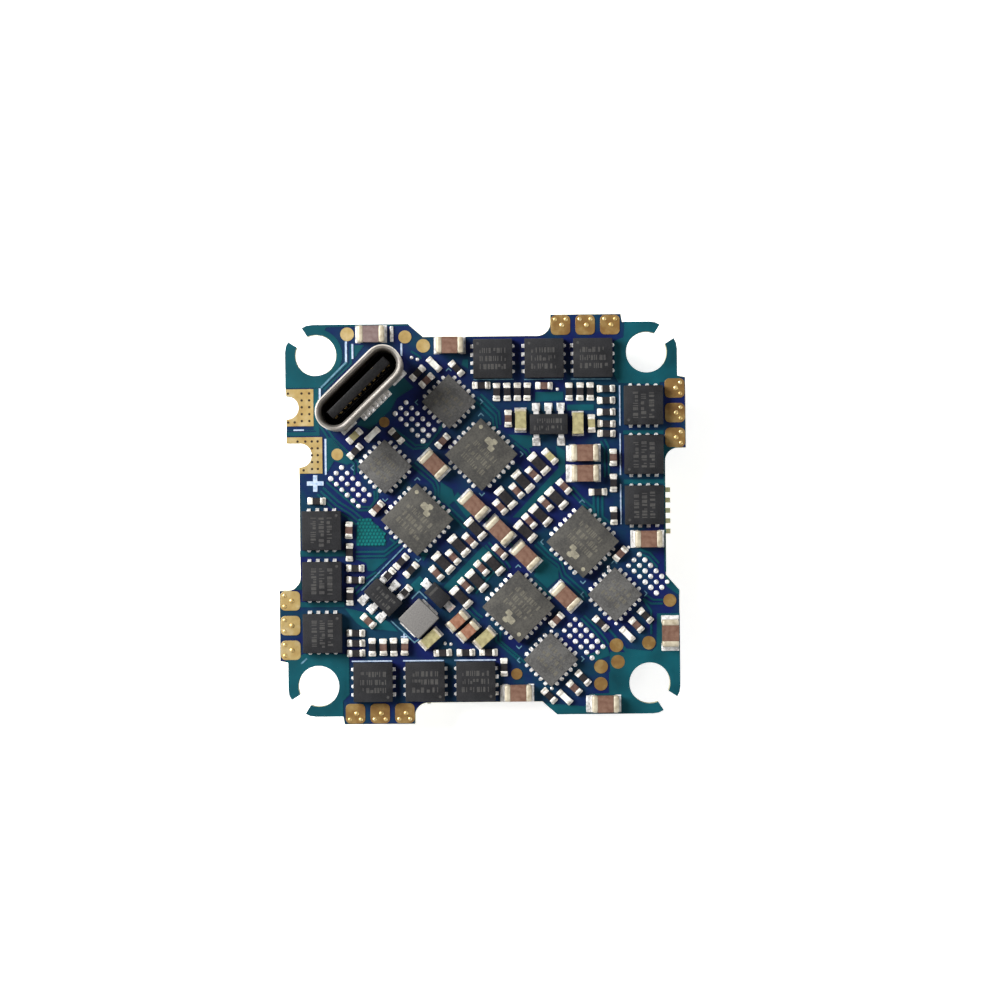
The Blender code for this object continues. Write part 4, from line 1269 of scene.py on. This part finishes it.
# The wall is a closed sheet: down the outside, round the rolled rim and down the lead-in
RIM_WIDTH = 0.32
wall_profile = [
    (0.0, shell_floor), (0.0, rim - 0.14 * MM), (0.04, rim - 0.05 * MM), (RIM_WIDTH * 0.35, rim),
    (RIM_WIDTH * 0.7, rim - 0.02 * MM), (RIM_WIDTH * 0.95, rim - 0.12 * MM),
    (RIM_WIDTH + 0.06, rim - 0.6 * MM), (RIM_WIDTH + 0.12, rim - 2.2 * MM), (RIM_WIDTH + 0.12, shell_floor),
]
shell_mesh = bmesh.new()
loops = []
for inset, level in wall_profile:
    ring = stadium(USB_LENGTH - 2 * inset, USB_WIDTH - 2 * inset)
    loops.append([shell_mesh.verts.new((x * MM, y * MM, level)) for x, y in ring])
for here, there in zip(loops, loops[1:] + loops[:1]):
    for i in range(len(here)):
        j = (i + 1) % len(here)
        shell_mesh.faces.new((here[i], here[j], there[j], there[i]))
LEG_U, leg_out, leg_bottom = 2.7, (USB_WIDTH - USB_WALL) / 2, shell_low.z
for u in (-1, 1):
    for v in (-1, 1):
        leg = (0.8, 0.12)
        add_block(shell_mesh, (u * LEG_U, v * leg_out), leg, leg_bottom, shell_floor + 0.3 * MM, 0.03)
# Two lock windows are pressed into each long side, and one joint line runs down the back
for u in (-1.9, 1.9):
    for v in (-1, 1):
        add_block(
            shell_mesh, (u, v * (USB_WIDTH / 2 + 0.005)), (0.9, 0.03), rim - 3.4 * MM, rim - 2.2 * MM, 0.01
        )
add_block(shell_mesh, (0, -USB_WIDTH / 2), (0.05, 0.02), shell_floor + 0.2 * MM, rim - 0.3 * MM, 0.0)
bmesh.ops.recalc_face_normals(shell_mesh, faces=shell_mesh.faces)
shell = link_mesh("usb_shell_drawn", shell_mesh, [nickel_steel], 40)
shell.matrix_world = usb_spot
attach(shell, "board")
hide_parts("usb_shell")

tongue_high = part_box("usb_tongue")[1]
TONGUE_LENGTH, TONGUE_THICK = 6.0, 0.7
base_top = shell_floor + 1.3 * MM
tongue_mesh = bmesh.new()
inner = stadium(USB_LENGTH - 0.8, USB_WIDTH - 0.8)
add_prism(tongue_mesh, inner, shell_floor, base_top)
blade_top = tongue_high.z
add_block(tongue_mesh, (0, 0), (TONGUE_LENGTH, TONGUE_THICK), base_top - 0.1 * MM, blade_top, 0.08)
add_block(tongue_mesh, (0, 0), (TONGUE_LENGTH + 0.5, 1.1), base_top - 0.1 * MM, base_top + 0.9 * MM, 0.08)
tongue = link_mesh("usb_tongue_moulded", tongue_mesh, [nylon], 40)
tongue.matrix_world = usb_spot
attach(tongue, "board")
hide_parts("usb_tongue")

contact_mesh = bmesh.new()
CONTACT_PITCH = 0.5
for i in range(12):
    u = (i - 5.5) * CONTACT_PITCH
    for v in (-1, 1):
        add_block(
            contact_mesh, (u, v * (TONGUE_THICK / 2 + 0.01)), (0.26, 0.05), base_top + 1.0 * MM,
            blade_top - (0.9 if i % 3 else 0.6) * MM, 0.01,
        )
contacts = link_mesh("usb_contacts", contact_mesh, [bright_gold], 40)
contacts.matrix_world = usb_spot
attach(contacts, "board")

joint_mesh = bmesh.new()
for u in (-1, 1):
    for v in (-1, 1):
        x, y, under = u * LEG_U, v * leg_out, BOARD_UNDER
        add_block(joint_mesh, (x, y), (1.4, 0.44), BOARD_TOP, BOARD_TOP + 0.1 * MM, 0.05)
        add_block(joint_mesh, (x, y), (1.5, 0.7), under - 0.08 * MM, under, 0.04)
        add_block(joint_mesh, (x, y), (1.16, 0.44), under - 0.2 * MM, under - 0.05 * MM, 0.07, segments=3)
        add_block(joint_mesh, (x, y), (0.96, 0.26), under - 0.29 * MM, under - 0.15 * MM, 0.06, segments=3)
tail_side, tail_start, tail_step = -1, -1.3, 0.43
for i in range(7):
    u = tail_start + i * tail_step
    add_block(joint_mesh, (u, tail_side * 1.62), (0.4, 0.56), BOARD_TOP, BOARD_TOP + 0.16 * MM, 0.05)
    add_dome(joint_mesh, (u, tail_side * 1.66), 0.22, BOARD_TOP + 0.08 * MM, 0.14 * MM)
joints = link_mesh("usb_solder_joints", joint_mesh, [solder], 50)
joints.matrix_world = usb_spot
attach(joints, "board")


# ------------------------------------------------------------------------------------------------
# Seats and underside copper
# Round each corner hole is a ring of masked copper that the rubber grommet or screw sits on.
# The underside carries wide ground areas, with fine tracks between them and rows of small vias.

SEAT_RADIUS = 2.05
seat_mesh = bmesh.new()
for sign_x in (-1, 1):
    for sign_y in (-1, 1):
        centre = (HOLE_SPACING / 2, HOLE_SPACING / 2)
        ring = arc(centre, HOLE_RADIUS + 0.03, 80, 370, 48) + arc(centre, SEAT_RADIUS, 370, 80, 48)
        outline = [(x * sign_x, y * sign_y) for x, y in ring]
        add_prism(seat_mesh, outline, BOARD_TOP, BOARD_HIGH)
        add_prism(seat_mesh, outline, BOARD_LOW, BOARD_UNDER)
seats = link_mesh("hole_seats", seat_mesh, [mask_on_copper], 40)
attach(seats, "board")

under_areas = [
    [(-10.8, 14.6), (-10.8, 11.6), (-9.0, 13.6), (-7.5, 14.6)],
    [(1.6, 14.0), (1.6, 11.0), (3.0, 9.6), (7.4, 9.6), (10.6, 11.4), (10.6, 14.0)],
    [(-12.9, 6.9), (-12.9, 3.9), (-14.0, 3.9), (-14.0, 1.2), (-10.4, 1.2), (-10.4, 4.3), (-12.4, 6.4)],
    [(11.0, 9.4), (14.0, 9.4), (14.0, 4.4), (10.0, 4.4), (8.7, 5.8), (8.7, 7.0)],
    [(-14.0, -5.4), (-14.0, -10.2), (-11.4, -10.2), (-10.6, -9.4), (-10.6, -5.4)],
    [(-2.4, -13.9), (-2.4, -12.1), (9.4, -12.1), (10.4, -13.9)],
    [(9.6, -3.4), (14.0, -3.4), (14.0, -9.9), (11.6, -9.9), (9.6, -8.1)],
    [(-5.6, 9.6), (-1.8, 5.7), (0.8, 5.7), (3.2, 8.0), (1.0, 10.2), (-5.0, 10.2)],
]
under_tracks = [
    (5, [(4.4, 1.2), (6.4, 1.2), (7.6, 0.5), (10.4, 0.5)]),
    (4, [(-3.0, 3.9), (-4.6, 5.5), (-4.6, 8.0), (-2.9, 9.7), (-2.9, 10.8)]),
    (4, [(-3.9, -2.8), (-5.9, -4.8), (-5.9, -9.4), (-5.0, -10.4)]),
    (3, [(0.6, -4.7), (0.6, -5.9)]),
    (3, [(3.6, 2.4), (5.0, 3.8)]),
    (2, [(-4.4, 2.0), (-6.0, 3.0)]),
    (4, [(-5.2, -0.8), (-8.6, -0.8), (-10.2, -2.4)]),
    (3, [(2.6, 3.9), (5.6, 7.4), (6.2, 7.9)]),
    (3, [(5.4, 9.2), (5.4, 11.9)]),
    (2, [(9.0, -5.2), (10.9, -3.4), (10.9, -2.6)]),
    (2, [(-8.0, -9.5), (-8.0, -10.6)]),
]
under_mesh = bmesh.new()
for number, outline in enumerate(under_areas):
    add_prism(under_mesh, outline, BOARD_UNDER - FOIL - number * HAIR, BOARD_UNDER + 0.01 * MM)
for number, outline in enumerate(side_by_side(under_tracks)):
    low = BOARD_UNDER - TRACK_FOIL - number * HAIR / 2
    add_prism(under_mesh, outline, low, BOARD_UNDER + 0.01 * MM)
under_copper = link_mesh("copper_underside", under_mesh, [mask_on_copper])
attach(under_copper, "board")

via_mesh = bmesh.new()
via_rows = [
    ((-13.6, 1.6), (0, 0.6), 4), ((-12.3, -5.8), (0, -0.6), 8), ((-1.8, -12.35), (0.7, 0), 16),
    ((12.1, -3.8), (0, -0.6), 10), ((13.6, 4.8), (0, 0.6), 8), ((2.1, 13.6), (0.7, 0), 12),
    ((-4.2, 9.8), (0.6, 0), 9), ((-1.4, 6.1), (0.6, 0), 4), ((-13.0, -5.8), (0.6, 0), 4),
    ((-6.9, -0.2), (-0.6, 0.0), 5), ((6.6, 1.9), (0.6, 0.0), 5), ((-7.4, -9.1), (0.5, 0.0), 3),
]
for (x, y), (step_x, step_y), count in via_rows:
    for i in range(count):
        spot = (x + step_x * i, y + step_y * i)
        add_prism(via_mesh, arc(spot, 0.17, 0, 330, 11), BOARD_UNDER - 0.05 * MM, BOARD_UNDER)
        add_prism(via_mesh, arc(spot, 0.08, 0, 330, 11), BOARD_UNDER - 0.054 * MM, BOARD_UNDER, 1, 1)
under_vias = link_mesh("vias_underside", via_mesh, [mask_on_vias, hole_shadow], 40)
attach(under_vias, "board")

# Oblong gold pads along the edge take the lamp strip, buzzer and aerial wires
wire_pads = [((x, -14.0 + 0.75), (1.0, 1.3)) for x in (1.2, 2.6, 4.0, 5.4, 6.8)]
wire_pads += [((-13.3, y), (1.3, 1.0)) for y in (-8.9, -7.5, -6.1)]
wire_pads += [((13.2, y), (1.3, 1.0)) for y in (-8.9, -7.5, -6.1, -4.7)]
wire_mesh = bmesh.new()
for middle, size in wire_pads:
    add_prism(wire_mesh, rounded_square(middle, size, 0.25), BOARD_LOW, BOARD_UNDER)
edge_pads = link_mesh("wire_pads_underside", wire_mesh, [bright_gold], 40)
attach(edge_pads, "board")


# ------------------------------------------------------------------------------------------------
# Flight computer
# The underside's chips: a square processor, a memory, an overlay chip and two sensors.
# They are moulded epoxy, except the air sensor and the crystal, which wear thin metal lids.

main_epoxy = moulded_epoxy("moulded_epoxy_flight", "#1b1a1b", "#2b2a2a", 0.09)
laser_type = moulded_epoxy("laser_scorched_epoxy_type", "#55534e", "#6c6a62", 0.1)
chip_layers = [main_epoxy, solder, laser_type]


def mark_chip(bm, rows, reach, height, dot):
    """Rows of dashes for type, and a round dimple beside the first terminal."""
    level = PART_FLOOR + height * MM
    add_marks(bm, rows, reach, level, 0.42, 2)
    add_prism(bm, arc(dot, 0.22, 0, 345, 23), level - 0.01 * MM, level + 0.003 * MM, 2, 2)


main_chip = leadless_chip((7.0, 7.0), 0.9, 12, 0.5, wet=0.15)
mark_chip(main_chip, (1.4, 0.5, -0.4, -1.3), 2.0, 0.9, (-2.7, 2.7))
place_chip("flight_chip", "flight_processor", main_chip, chip_layers, 45, True)

memory = leadless_chip((5.0, 6.0), 0.8, 4, 1.27, (1, 3), 0.12)
mark_chip(memory, (0.9, 0.0, -0.9), 1.6, 0.8, (-1.9, 2.4))
place_chip("memory_chip", "log_memory", memory, chip_layers, 90, True)

overlay_leads = [(side, (i - 6.5) * 0.65) for side in (-1, 1) for i in range(14)]
overlay = leaded_chip((4.4, 9.7), 1.0, overlay_leads, 0.24, 3.0)
add_marks(overlay, (0.8, -0.1, -1.0), 3.2, PART_FLOOR + 1.0 * MM, 0.5, 2, True)
add_prism(overlay, arc((-1.6, 4.2), 0.25, 0, 345, 23), PART_FLOOR + 0.99 * MM, PART_FLOOR + 1.003 * MM, 2, 2)
place_chip("overlay_chip", "display_overlay_chip", overlay, chip_layers, 90, True)

gyro = bmesh.new()
add_block(gyro, (0, 0), (3.0, 2.5), PART_FLOOR, PART_FLOOR + 0.85 * MM, 0.04)
for side in (0, 180):
    for i in range(4):
        y = (i - 1.5) * 0.5
        add_fillet(gyro, 1.48, 1.62, y, 0.28, 0.12, 1, turned(side), BOARD_TOP)
mark_chip(gyro, (0.3, -0.4), 1.0, 0.85, (-1.1, 0.85))
place_chip("motion_chip", "motion_sensor", gyro, chip_layers, 45, True)

# The lid is folded from thin steel, with a small hole through which the sensor feels the air
lid = bmesh.new()
add_block(lid, (0, 0), (2.5, 2.0), PART_FLOOR, PART_FLOOR + 0.95 * MM, 0.09, 0, None, 3)
add_block(lid, (0, 0), (2.5, 2.0), PART_FLOOR - 0.01 * MM, PART_FLOOR + 0.2 * MM, 0.0, 1)
vent_top = PART_FLOOR + 0.95 * MM
add_prism(lid, arc((0.6, 0.4), 0.22, 0, 345, 23), vent_top - 0.01 * MM, vent_top + 0.004 * MM, 2, 2)
place_chip("air_sensor_lid", "air_pressure_sensor", lid, [nickel_steel, main_epoxy, hole_shadow], 0, True)

can = bmesh.new()
add_block(can, (0, 0), (3.2, 2.5), PART_FLOOR, PART_FLOOR + 0.45 * MM, 0.05, 0)
add_block(can, (0, 0), (2.8, 2.1), PART_FLOOR + 0.3 * MM, PART_FLOOR + 0.75 * MM, 0.1, 1, None, 3)
for side in (0, 180):
    for y in (-0.85, 0.85):
        add_fillet(can, 1.58, 1.72, y, 0.7, 0.2, 2, turned(side), BOARD_TOP)
ceramic_base = fired_ceramic("fired_alumina_base", "#3d3a38", "#5a5652")
place_chip("crystal_can", "crystal", can, [ceramic_base, nickel_steel, solder], 45, True)


def lamp_resin(name, shade, glow):
    """Clear casting resin over a lamp die: glossy, tinted by the phosphor, cloudy inside."""
    made, tree, shader = new_material(name, shade, 0.18)
    shader.inputs["Transmission Weight"].default_value = 0.35
    mottle(tree, shader, 0.3, 2, [(0.35, shade), (0.65, glow)], (0.12, 0.25))
    return made


lamp_looks = [("power", lamp_resin("yellow_lamp_resin", "#c9b45a", "#e6dc96"))]
lamp_looks += [("ready", lamp_resin("water_clear_lamp_resin", "#c3ccd0", "#e4eaec"))]
for lamp_name, resin in lamp_looks:
    lamp = bmesh.new()
    add_block(lamp, (0, 0), (1.5, 0.76), PART_FLOOR, PART_FLOOR + 0.2 * MM, 0.0, 0)
    add_block(lamp, (0, 0), (0.95, 0.7), PART_FLOOR + 0.15 * MM, PART_FLOOR + 0.45 * MM, 0.06, 1)
    for side in (0, 180):
        add_block(lamp, (0.64, 0), (0.3, 0.8), PART_FLOOR, PART_FLOOR + 0.24 * MM, 0.03, 2, turned(side))
        add_fillet(lamp, 0.77, 0.95, 0, 0.76, 0.16, 2, turned(side), BOARD_TOP)
    layers = [white_alumina, resin, solder]
    place_chip(f"lamp_{lamp_name}", f"status_lamp_{lamp_name}", lamp, layers, 0, True)

# Small parts round the underside's chips; the template is turned over with the whole piece
under_capacitors = [
    (-5.6, -1.6, upright), (-4.6, 3.9, falling), (-3.6, 4.9, falling), (3.0, 4.2, rising),
    (3.9, 3.3, rising), (3.8, -2.9, falling), (2.9, -3.8, falling), (-4.2, -3.3, rising),
    (-5.1, -2.4, rising), (-9.6, 1.6, falling),
    (4.9, 7.6, upright), (9.5, 8.2, upright), (2.2, 12.6, upright), (-5.4, 11.8, upright),
    (-2.0, -12.6, upright), (10.6, -6.5, across), (10.6, -8.9, across), (9.0, 4.4, rising),
]
under_resistors = [
    (9.2, 2.6, upright), (9.2, -1.5, upright), (8.2, -2.4, across), (8.2, 3.2, across), (-3.6, -5.2, upright),
    (-3.6, -6.5, upright), (-3.6, -7.8, upright), (-10.9, -4.9, across), (10.6, -7.7, across),
    (3.0, 11.2, across), (7.9, 12.6, upright), (-9.2, -12.2, upright), (-9.2, -10.8, upright),
    (-5.2, 7.0, rising), (-9.2, -1.6, across),
]
flipped_capacitors = [(x, -y, -turn) for x, y, turn in under_capacitors]
flipped_resistors = [(x, -y, -turn) for x, y, turn in under_resistors]
small_capacitor = small_part(1.0, 0.52, 0.5, 0.26, 0.16)
looks = [brown_ceramic, tin_cap]
scatter("underside_capacitors", small_capacitor, flipped_capacitors, looks, True)
small_resistor = small_part(1.0, 0.5, 0.35, 0.24, 0.2)
scatter("underside_resistors", small_resistor, flipped_resistors, [black_glaze, tin_cap], True)


# ------------------------------------------------------------------------------------------------
# Boot switch
# A tiny push switch in a folded steel cover over a black base, soldered by four feet.
# Its round button, moulded in black nylon, is pressed towards the board against a spring dome.

SWITCH_LENGTH, SWITCH_WIDTH, SWITCH_HEIGHT, BUTTON_WIDTH = 3.0, 2.6, 1.1, 1.4
cover_bottom, cover_top = PART_FLOOR + 0.35 * MM, PART_FLOOR + SWITCH_HEIGHT * MM
switch_mesh = bmesh.new()
add_block(switch_mesh, (0, 0), (SWITCH_LENGTH, SWITCH_WIDTH), PART_FLOOR, cover_bottom + 0.05 * MM, 0.05, 1)
add_block(switch_mesh, (0, 0), (SWITCH_LENGTH, SWITCH_WIDTH), cover_bottom, cover_top, 0.12, 0, None, 3)
for u in (-1, 1):
    for v in (-0.75, 0.75):
        spot = turned(0 if u > 0 else 180)
        foot_low, foot_high = PART_FLOOR - 0.02 * MM, PART_FLOOR + 0.15 * MM
        add_block(switch_mesh, (1.6, v), (0.4, 0.5), foot_low, foot_high, 0.03, 2, spot)
        add_fillet(switch_mesh, 1.65, 1.79, v, 0.55, 0.12, 2, spot, BOARD_TOP)
switch = place_chip("switch_cover", "boot_switch_body", switch_mesh, [nickel_steel, nylon, solder], 0, True)
bore_mesh = bmesh.new()
bore = arc((0, 0), BUTTON_WIDTH / 2 + 0.06, 0, 352.5, 47)
add_prism(bore_mesh, bore, cover_top - 0.8 * MM, cover_top + 1 * MM)
bore_tool = link_mesh("bore", bore_mesh, [nylon])
bore_tool.matrix_world = switch.matrix_world.copy()
bpy.context.view_layer.update()
# Known fault: this cut fails, and the tool's shape stays on the cover as a pin that hides the button
join_shapes(switch, bore_tool, "DIFFERENCE")
bpy.data.objects.remove(bore_tool, do_unlink=True)

button_low, button_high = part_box("boot_button")
button_mesh = bmesh.new()
radius, chamfer = BUTTON_WIDTH / 2, 0.08
button_top = BOARD_TOP + BOARD_UNDER - button_low.z
button_foot = BOARD_TOP + BOARD_UNDER - button_high.z
loops = []
for across_radius, level in (
    (radius, button_foot),
    (radius, button_top - chamfer * MM),
    (radius - chamfer * 0.3, button_top - chamfer * 0.3 * MM),
    (radius - chamfer, button_top),
):
    ring = arc((0, 0), across_radius, 0, 352.5, 47)
    loops.append([button_mesh.verts.new((x * MM, y * MM, level)) for x, y in ring])
button_mesh.faces.new(reversed(loops[0]))
button_mesh.faces.new(loops[-1])
for here, there in zip(loops, loops[1:]):
    for i in range(len(here)):
        j = (i + 1) % len(here)
        button_mesh.faces.new((here[i], here[j], there[j], there[i]))
place_chip("button_cap", "boot_button", button_mesh, [nylon], 0, True)


# ------------------------------------------------------------------------------------------------
# Connectors
# Three sockets for crimped wires, moulded in pale nylon with tinned phosphor-bronze pins.
# The wide one opens past the board's right edge, where the comb that parts its wires shows.


def pale_nylon():
    """Natural heat-stable nylon: ivory with a yellow-green cast, waxy, softly lit from within."""
    made, tree, shader = new_material("natural_nylon", "#b9b98f", 0.42)
    shader.inputs["Subsurface Weight"].default_value = 0.15
    shader.inputs["Subsurface Scale"].default_value = 0.3 * MM
    mottle(tree, shader, 1.2, 3, [(0.3, "#a5a77e"), (0.7, "#bfbe9b")], (0.36, 0.5), 0.01 * MM)
    return made


ivory = pale_nylon()
PIN_PITCH, SOCKET_HEIGHT = 0.8, 3.0
socket_top = PART_FLOOR + SOCKET_HEIGHT * MM


def block_piece(name, centre, size, low, high, materials, soft=0.0):
    bm = bmesh.new()
    add_block(bm, centre, size, low, high, soft)
    return link_mesh(name, bm, materials, 35)


def hollow_piece(body, pockets):
    """The body's mesh with each pocket (centre, size, low, high) cut from it, in millimetres."""
    for centre, size, low, high in pockets:
        tool = block_piece("pocket", centre, size, PART_FLOOR + low * MM, PART_FLOOR + high * MM, [ivory])
        join_shapes(body, tool, "DIFFERENCE")
        bpy.data.objects.remove(tool, do_unlink=True)
    shape = bmesh.new()
    shape.from_mesh(body.data)
    bpy.data.objects.remove(body, do_unlink=True)
    return shape


def place_socket(name, node, shape, turn, middle_x=None):
    """Like place_chip; the side socket's own middle leaves its comb out."""
    piece = place_chip(name, node, shape, [ivory, solder], turn, True)
    if middle_x is not None:
        place = piece.matrix_world.copy()
        place.translation.x = middle_x
        piece.matrix_world = place
    return piece


SIDE_DEPTH, SIDE_LENGTH, SIDE_WALL, SIDE_WELL, COMB_REACH = 3.8, 5.8, 0.4, 2.4, 0.45
body = block_piece(
    "socket", (0, 0), (SIDE_DEPTH, SIDE_LENGTH), PART_FLOOR, socket_top, [ivory, solder], 0.06
)
mouth = SIDE_DEPTH / 2
pockets = [((mouth - SIDE_WELL / 2 + 0.5, 0), (SIDE_WELL + 1, SIDE_LENGTH - 0.8), SIDE_WALL, 2.6)]
pockets += [((mouth - 0.5, y), (1.4, 0.7), 2.2, 4) for y in (-1.9, 1.9)]
side_socket = hollow_piece(body, pockets)
for i in range(5):
    y = (i - 2) * PIN_PITCH
    add_block(side_socket, (mouth + COMB_REACH / 2 - 0.1, y), (COMB_REACH + 0.2, 0.38), PART_FLOOR,
              PART_FLOOR + SIDE_WALL * MM, 0.03)
for i in range(6):
    y = (i - 2.5) * PIN_PITCH
    pin_low, pin_high = PART_FLOOR + 1.3 * MM, PART_FLOOR + 1.6 * MM
    add_block(side_socket, (mouth - 1.5, y), (2.2, 0.3), pin_low, pin_high, 0.04, 1)
    add_block(side_socket, (-mouth - 0.2, y), (0.7, 0.3), BOARD_TOP, PART_FLOOR + 0.15 * MM, 0.03, 1)
signal_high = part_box("signal_connector")[1]
middle_x = signal_high.x - (COMB_REACH + SIDE_DEPTH / 2) * MM
place_socket("signal_socket", "signal_connector", side_socket, 0, middle_x)

WAFER_DEPTH, WAFER_LENGTH, WAFER_WALL = 3.0, 5.0, 0.42
for socket_name, node in (("receiver_socket", "receiver_connector"), ("camera_socket", "camera_connector")):
    body = block_piece(
        "socket", (0, 0), (WAFER_DEPTH, WAFER_LENGTH), PART_FLOOR, socket_top, [ivory, solder], 0.06
    )
    opening = (WAFER_DEPTH - 2 * WAFER_WALL, WAFER_LENGTH - 2 * WAFER_WALL)
    pockets = [((0, 0), opening, 1.0, 4)]
    pockets += [((WAFER_DEPTH / 2, y), (1.2, 0.5), 1.8, 4) for y in (-1.3, 1.3)]
    wafer = hollow_piece(body, pockets)
    for i in range(4):
        y = (i - 1.5) * PIN_PITCH
        add_block(wafer, (-0.35, y), (0.3, 0.3), PART_FLOOR + 0.9 * MM, PART_FLOOR + 2.5 * MM, 0.05, 1)
        add_block(wafer, (-WAFER_DEPTH / 2 - 0.2, y), (0.7, 0.3), BOARD_TOP, PART_FLOOR + 0.15 * MM, 0.03, 1)
    for y in (-1, 1):
        tab_middle = (0.3, y * (WAFER_LENGTH / 2 + 0.1))
        add_block(wafer, tab_middle, (1.4, 0.4), BOARD_TOP, PART_FLOOR + 0.15 * MM, 0.04, 1)
    place_socket(socket_name, node, wafer, 90)
